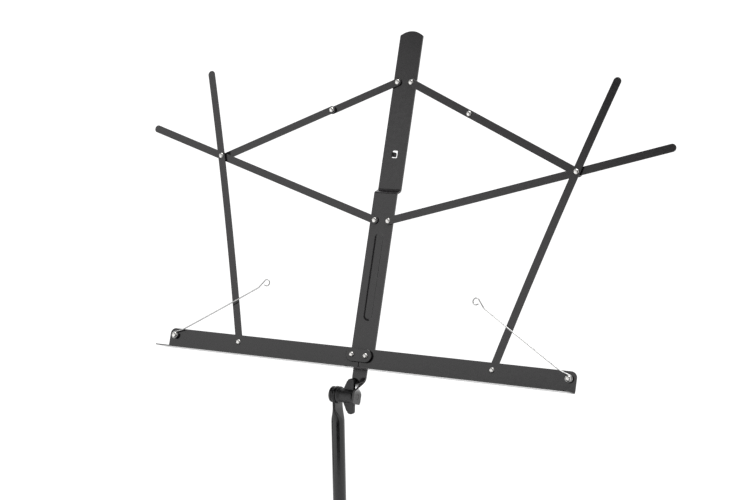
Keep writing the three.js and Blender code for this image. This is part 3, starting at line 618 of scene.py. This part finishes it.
WIRE_LEVEL = 7.4  # its middle line, on the desk's z
WIRE_R = 0.7
WIRE_ANGLE = 31.7  # from the tray, in degrees
WIRE_REACH = 122  # from the rivet to the loop's middle
WIRE_LOOP, WIRE_EYE = 3.3, 3.2  # radii of the wire's middle line
WIRE_HEAD = 2.8  # radius of its rivet's head
WIRE_TOP = WIRE_LEVEL + WIRE_R + GAP
WIRE_RIVET = [
    (0, LAYER["tray"]), (ROD, LAYER["tray"]), (ROD, TRAY_FRONT + GAP),
    *shoulder(HEAD, TRAY_FRONT + GAP, WIRE_LEVEL - WIRE_R - GAP), (ROD, WIRE_LEVEL - WIRE_R - GAP),
    (ROD, WIRE_TOP), *dome(WIRE_TOP, 1.2, WIRE_HEAD)]

# Tray half: the flat blank is drawn with y running down the face, round the
# bend and out along the ledge.
TRAY_HALF, TRAY_LOW, TRAY_HIGH, LEDGE = 230, -13.7, 7.3, 25.8
BEND_OUT = 1.7
BEND_IN = BEND_OUT - THICK
BEND_START = TRAY_LOW + BEND_OUT
BEND_LENGTH = (BEND_OUT + BEND_IN) / 2 * math.pi / 2
LEDGE_FLAT = TRAY_FRONT + LEDGE - (LAYER["tray"] + BEND_OUT)
BLANK_END = BEND_START - BEND_LENGTH - LEDGE_FLAT


def tray_place(x, y, side):
    if y >= BEND_START:
        return Vector((x, y, LAYER["tray"] + side * THICK))
    centre_z = LAYER["tray"] + BEND_OUT
    turn = min((BEND_START - y) / BEND_LENGTH, 1) * math.pi / 2
    r = BEND_OUT - side * THICK
    along = max(BEND_START - BEND_LENGTH - y, 0)
    return Vector((x, BEND_START - r * math.sin(turn), centre_z - r * math.cos(turn) + along))


def tray_outline():
    seam, relief = 0.4, 2.6
    bend_mid = BEND_START - BEND_LENGTH / 2
    right = arc(TRAY_HALF - 3, BLANK_END + 3, 3, -90, 0, 8)
    right += arc(TRAY_HALF - 6, TRAY_HIGH - 6, 6, 0, 90, 14)
    turn = arc(ROOT.x, 0, TRAY_HIGH, 90, 180, 16)
    turn = [(max(x, seam), y) for x, y in turn]
    notch = [(seam, bend_mid + relief)] + arc(seam, bend_mid, relief, 90, -90, 10)
    lip = [(seam, bend_mid - relief), (seam, BLANK_END + 1), (seam + 1, BLANK_END)]
    return right + turn + notch[1:] + lip[1:]


def tray_shape():
    holes = [circle(p.x, p.y, HOLE, 24) for p in (ROOT, UPRIGHT_ROOT, WIRE_ROOT)]
    columns, pitch, rows = 75, 3.05, 7
    over = 0.05  # how far the rows pass the bend at each side
    grid = []
    for i in range(1, columns + 1):
        for j in range(rows + 1):
            grid.append((i * pitch, BEND_START + over - (BEND_LENGTH + 2 * over) * j / rows))
    return sheet(tray_outline(), holes, tray_place, grid, step=3)


def smooth_path(points, steps=6):
    """A Catmull-Rom curve through the points."""
    made = []
    last = len(points) - 1
    for i in range(last):
        p0, p1 = points[max(i - 1, 0)], points[i]
        p2, p3 = points[i + 1], points[min(i + 2, last)]
        for k in range(steps):
            t = k / steps
            made.append(0.5 * ((2 * p1) + (p2 - p0) * t + (2 * p0 - 5 * p1 + 4 * p2 - p3) * t * t
                               + (3 * p1 - p0 - 3 * p2 + p3) * t ** 3))
    return made + [points[last]]


def swept(points, radius, sides=14):
    """A round wire along points that lie nearly in the x-y plane, with domed ends."""
    rings = []
    last = len(points) - 1
    for i, p in enumerate(points):
        way = (points[min(i + 1, last)] - points[max(i - 1, 0)]).normalized()
        aside = Vector((0, 0, 1)).cross(way).normalized()
        over = way.cross(aside)
        ends = [(0.75, 0.35), (0.3, 0.65)] if i in (0, last) else []
        sign = -1 if i == 0 else 1
        stack = [(1, 0)] + ends
        if i == 0:
            stack = stack[::-1]
        for share, out in stack:
            centre = p + way * (sign * out * radius)
            rings.append([
                centre + (aside * math.cos(t) + over * math.sin(t)) * radius * share
                for t in (2 * math.pi * k / sides for k in range(sides))])
    return skin(rings)


def page_wire():
    """An eye round its rivet, a slightly sprung shank between two bends, and a turned loop."""
    angle = math.radians(180 - WIRE_ANGLE)
    along = Vector((math.cos(angle), math.sin(angle), 0))
    aside = Vector((-along.y, along.x, 0))
    centre = Vector((WIRE_ROOT.x, WIRE_ROOT.y, WIRE_LEVEL))
    eye = arc(0, 0, WIRE_EYE, -360, -77, 14)
    near_bend = [(6.5, -1.75), (9.7, -1.0), (11.5, -0.75), (15, -0.7)]
    shank = [(30, -0.4), (50, -0.1), (70, 0.1), (90, 0.2), (105, 0.25)]
    far_bend = [(109.5, 0.3), (111.5, 0.1), (114.5, -0.85)]
    loop = arc(WIRE_REACH, 0, WIRE_LOOP, -108, 170, 16)
    line = [centre + along * a + aside * b for a, b in eye + near_bend + shank + far_bend + loop]
    return swept(smooth_path(line, 4), WIRE_R)


def make_side(word, side):
    def strip(base, outline, holes):
        cuts = [circle(h.x, h.y, HOLE, 24) for h in holes]
        low = LAYER[base]
        shape = sheet(outline, cuts, flat(low, low + THICK)).mirrored(side)
        piece(f"{base}_{word}", shape, BLACK, f"{base}_{word}", edge=0.22)

    def arm(base, a, b, holes):
        strip(base, obround(tuple(a), tuple(b), ARM), holes)

    def bowed_arm(base, a, through, reach, bow, holes):
        """An arm whose middle line passes a and through, then curves outward by bow."""
        way = (through - a).normalized()
        span = (through - a).length
        aside = Vector((way.y, -way.x))
        curve = bow / (reach * (reach - span))
        angle = math.degrees(math.atan2(way.y, way.x))

        def at(along, off):
            return a + way * along + aside * (curve * along * (along - span) + off)

        count = 40
        near = [tuple(at(reach * k / count, ARM / 2)) for k in range(count)]
        far = [tuple(at(reach * k / count, -ARM / 2)) for k in range(count, 0, -1)]
        outline = near + arc(*at(reach, 0), ARM / 2, angle - 90, angle + 90, 16) + far[1:]
        outline += arc(*a, ARM / 2, angle + 90, angle + 270, 16)[:-1]
        strip(base, outline, holes)

    def rivet(base, profile, place, body):
        shape = lathe(profile, 36).shifted(place.x, place.y).mirrored(side)
        piece(f"{base}_{word}", shape, PLATED, body, angle=50)

    bowed_arm("upright", UPRIGHT_ROOT, STAR, UPRIGHT_REACH, UPRIGHT_BOW, (UPRIGHT_ROOT, STAR))
    arm("diagonal", DIAGONAL_ROOT, DIAGONAL_TIP, (DIAGONAL_ROOT, STAR))
    arm("inner_link", LINK_ROOT, KNEE, (LINK_ROOT, KNEE))
    arm("outer_link", KNEE, STAR, (KNEE, STAR))
    piece(f"tray_{word}", tray_shape().mirrored(side), BLACK, f"tray_{word}", edge=0.22, angle=30)
    rivet("bracket_rivet", BRACKET_RIVET, ROOT, "desk_bar")
    rivet("diagonal_rivet", DIAGONAL_RIVET, DIAGONAL_ROOT, "desk_bar")
    rivet("link_rivet", LINK_RIVET, LINK_ROOT, "desk_bar")
    rivet("upright_rivet", UPRIGHT_RIVET, UPRIGHT_ROOT, f"tray_{word}")
    rivet("star_rivet_front", STAR_FRONT, STAR, f"upright_{word}")
    rivet("star_rivet_rear", STAR_REAR, STAR, f"diagonal_{word}")
    rivet("knee_rivet_front", KNEE_FRONT, KNEE, f"outer_link_{word}")
    rivet("knee_rivet_rear", KNEE_REAR, KNEE, f"inner_link_{word}")
    rivet("wire_rivet", WIRE_RIVET, WIRE_ROOT, f"tray_{word}")
    piece(f"page_wire_{word}", page_wire().mirrored(side), WIRE, f"page_wire_{word}", angle=60)


make_side("left", -1)
make_side("right", 1)

# -------------------------------------------------------------- moulded pieces


def boolean(base, tool, operation):
    modifier = base.modifiers.new(operation, "BOOLEAN")
    modifier.operation = operation
    modifier.solver = "EXACT"
    modifier.object = tool


def baked(made, name):
    """A new object from the evaluated mesh, with the old one removed."""
    graph = bpy.context.evaluated_depsgraph_get()
    mesh = bpy.data.meshes.new_from_object(made.evaluated_get(graph))
    result = bpy.data.objects.new(name, mesh)
    bpy.context.scene.collection.objects.link(result)
    result.matrix_world = made.matrix_world.copy()
    bpy.data.objects.remove(made)
    return result


def moulded(node, solids, cuts, body, matrix, voxel=0.4, soften=4):
    """Joins solids, cuts holes, and softens every edge as a plastic moulding has them."""
    made = make_object("raw_" + node, solids[0], matrix)
    tools = []
    for shape, operation in [(s, "UNION") for s in solids[1:]] + [(c, "DIFFERENCE") for c in cuts]:
        tool = make_object("tool_" + node, shape, matrix)
        tools.append(tool)
        boolean(made, tool, operation)
    remesh = made.modifiers.new("remesh", "REMESH")
    remesh.mode = "VOXEL"
    remesh.voxel_size = voxel * MM
    smooth = made.modifiers.new("smooth", "SMOOTH")
    smooth.factor = 0.5
    smooth.iterations = soften
    thin = made.modifiers.new("thin", "DECIMATE")
    thin.ratio = 0.45
    result = baked(made, "fine_" + node)
    for tool in tools:
        bpy.data.objects.remove(tool)
    finish_piece(result, PLASTIC, body, node, angle=60)


def tube_body(outer, inner, low, high):
    soft = 0.25
    return lathe([
        (inner, low), (outer - soft, low), (outer, low + soft), (outer, high - soft),
        (outer - soft, high), (inner, high), (inner, low)], 64)


def rod_body(r, low, high, segments=40):
    return lathe([(0, low), (r, low), (r, high), (0, high)], segments)


def slab(outline, low, high):
    return sheet(outline, [], flat(low, high))


def mirrored_outline(upper):
    """Adds the lower half to an outline's upper half, drawn from left to right."""
    return upper + [(x, -y) for x, y in reversed(upper)]


# --------------------------------------------------------------- tilting head

TAB_THICK = 3  # of the inner tube's flattened top
TAB_HALF = 8.75  # half its width
TAB_LEFT = SHAFT_X - TAB_THICK / 2
TAB_RIGHT = SHAFT_X + TAB_THICK / 2
WASHER_THICK = 1.8
HEAD_RIGHT = TAB_LEFT - WASHER_THICK - 2 * GAP
KNOB_TURN = 15  # degrees from upright to its wings


def on_tilt_axis(shape):
    """From standing along z to lying along x, on the tilt axis."""
    return shape.turned(90, "Y").shifted(0, TILT_Y, TILT_Z)


def make_head():
    end = BAR_THICK / 2 - 0.1
    bolt = lathe([
        (0, HEAD_RIGHT - 3.2), (4.6, HEAD_RIGHT - 3.2), (5.6, HEAD_RIGHT - 3.05), (7.6, HEAD_RIGHT - 2.3),
        (8.1, HEAD_RIGHT - 1.8), (8.25, HEAD_RIGHT - 1.4), (8.25, HEAD_RIGHT - 0.3), (7.95, HEAD_RIGHT),
        (BOLT_R, HEAD_RIGHT), (BOLT_R, end), (0, end)], 56)
    piece("tilt_bolt", on_tilt_axis(bolt), BLACK, "desk_bar")
    low, high = HEAD_RIGHT + GAP, TAB_LEFT - GAP
    washer = lathe([
        (BOLT_R + GAP, low), (7.75, low), (8, low + 0.25), (8, high - 0.25), (7.75, high),
        (BOLT_R + GAP, high), (BOLT_R + GAP, low)], 56)
    piece("tilt_washer", on_tilt_axis(washer), PLASTIC, "desk_bar")

    left, right = TAB_RIGHT + GAP, -1.8
    hub_r, flange_r, tip = 7, 8.6, 18
    hub = lathe([
        (0, left), (flange_r - 0.2, left), (flange_r, left + 0.3), (flange_r, left + 2), (hub_r, left + 3.2),
        (hub_r, right - 1), (hub_r - 0.8, right), (0, right)], 56).turned(90, "Y")
    upper = [(-16, 1), (-15.6, 4), (-10.4, tip - 2.8)]
    upper += [(-6 + 3.6 * math.cos(t), tip - 2.4 + 2.4 * math.sin(t))
              for t in (math.pi * (1 - k / 12) for k in range(13))]
    upper += [(-2.4, 9), (-2.4, 1)]
    blade = slab(mirrored_outline(upper), -2, 2)
    bore = rod_body(BOLT_R + GAP, left - 1, right + 1).turned(90, "Y")
    turn = Matrix.Translation((0, TILT_Y, TILT_Z)) @ Matrix.Rotation(math.radians(KNOB_TURN), 4, "X")
    moulded("tilt_knob", [hub.moved(turn), blade.moved(turn)], [bore.moved(turn)], "tilt_knob",
            ON_DESK, voxel=0.3, soften=5)


make_head()

# ----------------------------------------------------------------------- shaft

TILT_HEIGHT = TILT_POINT.z / MM
OUTER_R, MIDDLE_R, INNER_R = 9.6, 8.2, 6.8
WALL = 1  # of the two lower tubes
OUTER_LOW, OUTER_TOP = (corner.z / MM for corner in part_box("outer_tube"))
MIDDLE_LOW, MIDDLE_TOP = (corner.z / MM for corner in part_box("middle_tube"))
INNER_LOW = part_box("inner_tube")[0].z / MM


def flat_ring(half_x, half_y, z, count=72):
    """One section of a round or flattened tube."""
    made = []
    for k in range(count):
        t = (k + 0.5) / count * 2 * math.pi
        shift = math.copysign(half_y - half_x, math.sin(t))
        made.append(Vector((half_x * math.cos(t), half_x * math.sin(t) + shift, z)))
    return made


def inner_tube():
    """Round up to the taper below its flattened top, whose end is a half circle."""
    round_low, tab_low = TILT_HEIGHT - 28, TILT_HEIGHT - 12
    half_thick = TAB_THICK / 2
    rings = [flat_ring(INNER_R - 0.25, INNER_R - 0.249, INNER_LOW),
             flat_ring(INNER_R, INNER_R + 0.001, INNER_LOW + 0.25)]
    steps = 22
    for k in range(steps + 1):
        t = k / steps
        half_x = INNER_R + (half_thick - INNER_R) * ease(t)
        half_y = INNER_R + (TAB_HALF - INNER_R) * ease(t)
        rings.append(flat_ring(half_x, half_y + 0.001, round_low + t * (tab_low - round_low)))
    rings.append(flat_ring(half_thick, TAB_HALF, TILT_HEIGHT))
    for k in range(1, 15):
        t = k / 15.3 * math.pi / 2
        half_y = max(TAB_HALF * math.cos(t), half_thick + 0.4)
        rings.append(flat_ring(half_thick, half_y, TILT_HEIGHT + TAB_HALF * math.sin(t)))
    return skin(rings)


def make_tubes():
    piece("inner_tube", inner_tube(), TUBE, "inner_shaft", ON_SHAFT, angle=50)
    middle = tube_body(MIDDLE_R, MIDDLE_R - WALL, MIDDLE_LOW, MIDDLE_TOP)
    piece("middle_tube", middle, TUBE, "middle_shaft", ON_SHAFT)
    outer = tube_body(OUTER_R, OUTER_R - WALL, OUTER_LOW, OUTER_TOP)
    piece("outer_tube", outer, TUBE, "shaft_base", ON_SHAFT)


make_tubes()


SCREW_R = 2.5
SCREW_HUB_R, SCREW_HUB = 5, 8  # radius and length of a thumb screw's hub
BOSS_R = 5.5  # the boss that a thumb screw runs in


def to_front(shape, z, start=0):
    """From standing along z to pointing at the front at height z, start mm further out."""
    return shape.shifted(0, 0, start).turned(90, "X").shifted(0, 0, z)


def thumb_screw(node, reach, z, start):
    """A screw with two swept wings, built along z and turned to the front."""
    hub_end = reach + SCREW_HUB
    stem = lathe([
        (0, 0), (SCREW_R, 0), (SCREW_R, reach), (SCREW_HUB_R - 0.3, reach), (SCREW_HUB_R, reach + 0.3),
        (SCREW_HUB_R, hub_end - 1.6), (SCREW_HUB_R - 1, hub_end), (0, hub_end)], 40)
    upper = [(reach + 0.8, 1), (reach + 1.6, 6), (reach + 3.6, 9.5)]
    upper += arc(hub_end, 12, 3, 165, 0, 12)
    upper += [(reach + 10.2, 8.5), (reach + 9, 4.5), (reach + 7.9, 1)]
    wings = slab(mirrored_outline(upper), -1.8, 1.8)
    blade = Body([Vector((p.y, p.z, p.x)) for p in wings.points], wings.faces)
    solids = [to_front(stem, z, start), to_front(blade, z, start)]
    moulded(node, solids, [], node, ON_SHAFT, voxel=0.3)


def clutch(word, lower_r, lower_top, upper_r, body):
    """A clamp on the top of one tube that grips the next, and its thumb screw."""
    outside = lower_r + 5
    foot, ridge = lower_top - 20, lower_top - 8
    seat, rim = lower_top + GAP, lower_top + 16
    lower_bore, upper_bore = lower_r + GAP, upper_r + GAP
    shell = lathe([
        (lower_bore, foot), (outside - 1, foot), (outside, foot + 1.5),
        (outside, ridge - 2), (outside - 0.6, ridge - 1.5), (outside - 0.6, ridge), (outside, ridge + 0.5),
        (outside, rim - 4), (outside - 0.8, rim - 1.6), (outside - 2.5, rim),
        (upper_bore, rim), (upper_bore, seat), (lower_bore, seat), (lower_bore, foot)], 72)
    z = lower_top + 7
    reach = outside + 4
    boss = to_front(rod_body(BOSS_R, outside - 3, reach), z)
    drill = to_front(rod_body(SCREW_R + GAP, upper_r - 3, reach + 1), z)
    moulded(f"{word}_clutch", [shell, boss], [drill], body, ON_SHAFT)
    thumb_screw(f"{word}_clutch_screw", reach + GAP - upper_bore, z, upper_bore)


clutch("upper", MIDDLE_R, MIDDLE_TOP, INNER_R, "middle_shaft")
clutch("lower", OUTER_R, OUTER_TOP, MIDDLE_R, "shaft_base")

# ---------------------------------------------------------------------- tripod

LEG_AZIMUTHS = {1: 90, 2: 210, 3: 330}
PIVOT_R = 22  # from the shaft's middle to the leg and strut pivots
RING_R = 13  # outside of the leg collar and the strut hub
COLLAR_BOSS = 17  # how far the collar's screw boss reaches
COLLAR_Z = joint_point("leg_swing_1").z / MM
HUB_Z = joint_point("strut_swing_1").z / MM
SPLAY = math.radians(JOINTS["leg_swing_1"]["range_deg"][1])
FOOT_R = 8
LEG_LENGTH = (COLLAR_Z - FOOT_R) / math.cos(SPLAY)
STRUT_LENGTH = (COLLAR_Z - HUB_Z) / 2 / math.cos(SPLAY)
LEG_HALF, LEG_WALL, LEG_OUT, LEG_IN, LEG_OVER = 5, 1.2, 6.5, 5.5, 5
FOOT_CUP = 14  # how far a foot covers the end of its leg
STRUT_FROM, STRUT_TO, STRUT_WIDTH = 5.4, 7.9, 9
EAR_HALF, EAR_ROUND, HUB_EAR_FROM, HUB_EAR_TO = 3.4, 4.5, 8.2, 11.2
PIN_R = 2
PIN_HOLE = PIN_R + GAP


def across(shape):
    """From drawn in (radius, height) with its thickness along z, to upright across y."""
    return shape.turned(90, "X")


def round_the_shaft(shape, azimuth):
    return shape.turned(azimuth, "Z")


def spider(node, z, low, high, ear_from, ear_to, extra, drills, body):
    """A ring round the outer tube with an ear for each leg or strut."""
    ring = tube_body(RING_R, OUTER_R + GAP, z + low, z + high)
    ear = across(slab(obround((RING_R - 2.5, z), (PIVOT_R, z), 2 * EAR_ROUND), -ear_to, -ear_from))
    hole = across(rod_body(PIN_HOLE, -ear_to - 1, -ear_from + 1)).shifted(PIVOT_R, 0, z)
    ears = [round_the_shaft(ear, a) for a in LEG_AZIMUTHS.values()]
    holes = [round_the_shaft(hole, a) for a in LEG_AZIMUTHS.values()]
    bore = rod_body(OUTER_R + GAP, z + low - 1, z + high + 1, 64)
    moulded(node, [ring, *ears, *extra], [bore, *holes, *drills], body, ON_SHAFT)


def make_spiders():
    screw_z = COLLAR_Z + 4
    boss = to_front(rod_body(BOSS_R, RING_R - 2, COLLAR_BOSS), screw_z)
    drill = to_front(rod_body(SCREW_R + GAP, 7, COLLAR_BOSS + 1), screw_z)
    spider("leg_collar", COLLAR_Z, -12, 14, -EAR_HALF, EAR_HALF, [boss], [drill], "leg_collar")
    tip = OUTER_R + GAP
    thumb_screw("leg_collar_screw", COLLAR_BOSS + GAP - tip, screw_z, tip)
    spider("strut_hub", HUB_Z, -12, 10, HUB_EAR_FROM, HUB_EAR_TO, [], [], "shaft_base")


make_spiders()


def leg_section():
    """A pressed channel with rounded bends; its open side faces the shaft when folded."""
    half, wall, out, inward = LEG_HALF, LEG_WALL, LEG_OUT, LEG_IN
    r_out, r_in = 2.2, 1.0
    outer = [(-inward, -half)] + arc(out - r_out, -half + r_out, r_out, -90, 0, 6)
    outer += arc(out - r_out, half - r_out, r_out, 0, 90, 6) + [(-inward, half)]
    inner_x = out - wall
    inner = [(-inward, half - wall)] + arc(inner_x - r_in, half - wall - r_in, r_in, 90, 0, 5)
    inner += arc(inner_x - r_in, wall + r_in - half, r_in, 0, -90, 5) + [(-inward, wall - half)]
    return outer + inner


def swung(shape):
    """From hanging straight down below the pivot to the open leg's slope."""
    return shape.turned(-math.degrees(SPLAY), "Y").shifted(PIVOT_R, 0, COLLAR_Z)


def leg_channel():
    section = leg_section()
    return skin([[Vector((x, y, z)) for x, y in section] for z in (FOOT_CUP - LEG_LENGTH, LEG_OVER)])


def foot_shape():
    centre = -LEG_LENGTH
    neck = FOOT_CUP - LEG_LENGTH - GAP
    ball = [(FOOT_R * math.sin(t), centre - FOOT_R * math.cos(t))
            for t in (math.pi / 2 * k / 12 for k in range(13))]
    ball[0] = (0, centre - FOOT_R)
    side = [(FOOT_R, centre + 2), (FOOT_R - 0.5, centre + 3), (FOOT_R - 0.5, centre + 4),
            (FOOT_R, centre + 5), (FOOT_R + 0.3, centre + 8), (FOOT_R + 0.6, neck - 1.5),
            (FOOT_R + 0.4, neck - 0.4), (FOOT_R, neck), (0, neck)]
    return lathe(ball + side, 48)


PIN_DOME = [(0, 1.3), (1.6, 1.25), (2.8, 1.0), (3.4, 0.6), (3.4, GAP), (PIN_R, GAP)]
PIN_PLAIN = [(0, 0), (PIN_R, 0)]


def pin_shape(low, high, low_end, high_end):
    """A tripod pin along z; each end's profile runs outwards from low or high."""
    below = [(r, low - rise) for r, rise in low_end]
    above = [(r, high + rise) for r, rise in reversed(high_end)]
    return lathe(below + above, 36)


def drilled(node, shape, drills, material, body, edge):
    """A crisp piece with round holes through it."""
    made = make_object("raw_" + node, shape, ON_SHAFT)
    tools = [make_object("tool_" + node, drill, ON_SHAFT) for drill in drills]
    for tool in tools:
        boolean(made, tool, "DIFFERENCE")
    result = baked(made, "fine_" + node)
    for tool in tools:
        bpy.data.objects.remove(tool)
    finish_piece(result, material, body, node, angle=30)
    return round_edges(result, edge)


def make_leg(n, azimuth):
    def put(node, shape, material, body, edge=0.0, angle=38):
        return piece(node, round_the_shaft(shape, azimuth), material, body, ON_SHAFT, edge, angle)

    def loose(name, shape, body):
        made = make_object(name, round_the_shaft(shape, azimuth), ON_SHAFT)
        return finish_piece(made, PLATED, body, None, 50)

    put(f"foot_{n}", swung(foot_shape()), RUBBER, f"leg_{n}", angle=50)
    top = (PIVOT_R + STRUT_LENGTH * math.sin(SPLAY), HUB_Z + STRUT_LENGTH * math.cos(SPLAY))
    wall_inside = LEG_HALF - LEG_WALL
    collar_hole = across(rod_body(PIN_HOLE, -LEG_HALF - 1, LEG_HALF + 1)).shifted(PIVOT_R, 0, COLLAR_Z)
    strut_hole = across(rod_body(PIN_HOLE, -LEG_HALF - 1, 1 - wall_inside)).shifted(top[0], 0, top[1])
    drills = [round_the_shaft(hole, azimuth) for hole in (collar_hole, strut_hole)]
    channel = round_the_shaft(swung(leg_channel()), azimuth)
    drilled(f"leg_{n}", channel, drills, BLACK, f"leg_{n}", 0.2)
    holes = [circle(PIVOT_R, HUB_Z, PIN_HOLE), circle(*top, PIN_HOLE)]
    bar = sheet(obround((PIVOT_R, HUB_Z), top, STRUT_WIDTH, 18), holes, flat(-STRUT_TO, -STRUT_FROM))
    put(f"strut_{n}", across(bar), BLACK, f"strut_{n}", edge=0.25)
    pin = across(pin_shape(-LEG_HALF, LEG_HALF, PIN_DOME, PIN_DOME)).shifted(PIVOT_R, 0, COLLAR_Z)
    put(f"leg_pin_{n}", pin, PLATED, "leg_collar", angle=50)
    hub_pin = across(pin_shape(-HUB_EAR_TO, -STRUT_FROM, PIN_DOME, PIN_PLAIN)).shifted(PIVOT_R, 0, HUB_Z)
    put(f"strut_pin_{n}", hub_pin, PLATED, "shaft_base", angle=50)
    inner_start = GAP / 3 - STRUT_FROM
    outer_half = across(pin_shape(-STRUT_TO, -STRUT_FROM, PIN_DOME, PIN_PLAIN)).shifted(top[0], 0, top[1])
    inner_half = across(pin_shape(inner_start, -wall_inside, PIN_PLAIN, PIN_DOME)).shifted(top[0], 0, top[1])
    loose(f"strut_end_rivet_{n}", outer_half, f"strut_{n}")
    loose(f"leg_side_rivet_{n}", inner_half, f"leg_{n}")


for number, azimuth in LEG_AZIMUTHS.items():
    make_leg(number, azimuth)

# ------------------------------------------------------------ stage and light


def make_stage():
    """A round pale floor, small enough that the upper shaft doesn't mirror it."""
    radius, count = 2.0, 96
    rim = [(x, y, 0) for x, y in circle(0, 0, radius, count)]
    mesh = bpy.data.meshes.new("floor")
    mesh.from_pydata(rim, [], [tuple(range(count))])
    floor = bpy.data.objects.new("floor", mesh)
    bpy.context.scene.collection.objects.link(floor)
    finish = Finish("pale_floor", (0.9, 0.9, 0.9), 0, 0.8)
    finish.color(finish.noise(0.5, 2), (0.88, 0.88, 0.88), (0.92, 0.92, 0.92))
    mesh.materials.append(finish.material)


make_stage()


# Each panel: its azimuths and elevations in degrees as seen from the stand, with
# azimuth 0 at the front and positive to the right, how far its edges drop for each
# degree to the right of PANEL_MIDDLE, the width of its soft edge, and its brightness.
PANELS = [
    {"azimuths": (-72, 0), "elevations": (-60, 31.5), "slant": 0.25, "soft": 3, "bright": 1.45},
    {"azimuths": (56, 112), "elevations": (-60, 45), "slant": 0, "soft": 8, "bright": 1.2},
]
PANEL_MIDDLE = -31
FRONT, REAR = 0.06, 1.15  # brightness of the room in front of the stand and behind it


class Sky:
    """The room round the stand, painted on the world by direction."""

    def __init__(self):
        self.world = bpy.data.worlds.new("studio")
        bpy.context.scene.world = self.world
        self.world.use_nodes = True
        self.nodes = self.world.node_tree.nodes
        self.links = self.world.node_tree.links
        place = self.nodes.new("ShaderNodeTexCoord")
        parts = self.nodes.new("ShaderNodeSeparateXYZ")
        self.links.new(place.outputs["Generated"], parts.inputs["Vector"])
        x, self.back, z = parts.outputs
        turn = self.combined("ARCTAN2", x, self.combined("MULTIPLY", self.back, -1))
        self.azimuth = self.combined("MULTIPLY", turn, math.degrees(1))
        self.elevation = self.combined("MULTIPLY", self.combined("ARCSINE", z), math.degrees(1))

    def combined(self, operation, *values):
        node = self.nodes.new("ShaderNodeMath")
        node.operation = operation
        for socket, value in zip(node.inputs, values):
            if isinstance(value, bpy.types.NodeSocket):
                self.links.new(value, socket)
            else:
                socket.default_value = value
        return node.outputs["Value"]

    def ramp(self, value, start, end, low=0.0, high=1.0):
        node = self.nodes.new("ShaderNodeMapRange")
        node.interpolation_type = "SMOOTHSTEP"
        self.links.new(value, node.inputs["Value"])
        for key, number in zip(RANGE_INPUTS, (start, end, low, high)):
            node.inputs[key].default_value = number
        return node.outputs["Result"]

    def within(self, value, low, high, soft):
        rise = self.ramp(value, low - soft / 2, low + soft / 2)
        fall = self.ramp(value, high - soft / 2, high + soft / 2, 1.0, 0.0)
        return self.combined("MULTIPLY", rise, fall)

    def panel(self, azimuths, elevations, slant, soft, bright):
        from_middle = self.combined("SUBTRACT", self.azimuth, PANEL_MIDDLE)
        height = self.combined("ADD", self.elevation, self.combined("MULTIPLY", from_middle, slant))
        across_it = self.within(self.azimuth, *azimuths, soft)
        up_it = self.within(height, *elevations, soft)
        return self.combined("MULTIPLY", self.combined("MULTIPLY", across_it, up_it), bright)


def make_light():
    """A room with bright panels that is dark in front; the camera itself sees plain white."""
    sky = Sky()
    bright = sky.ramp(sky.back, -0.1, 0.35, FRONT, REAR)
    for panel in PANELS:
        bright = sky.combined("MAXIMUM", bright, sky.panel(**panel))
    backdrop = sky.nodes.new("ShaderNodeLightPath").outputs["Is Camera Ray"]
    bright = sky.combined("MAXIMUM", bright, sky.combined("MULTIPLY", backdrop, REAR))
    background = sky.nodes["Background"]
    sky.links.new(bright, background.inputs["Strength"])
    background.inputs["Color"].default_value = (1, 1, 1, 1)
    sun = bpy.data.lights.new("overhead", "SUN")
    sun.energy = 2.2
    sun.angle = math.radians(40)
    lamp = bpy.data.objects.new("overhead", sun)
    bpy.context.scene.collection.objects.link(lamp)
    bpy.context.scene.view_settings.view_transform = "Standard"


make_light()
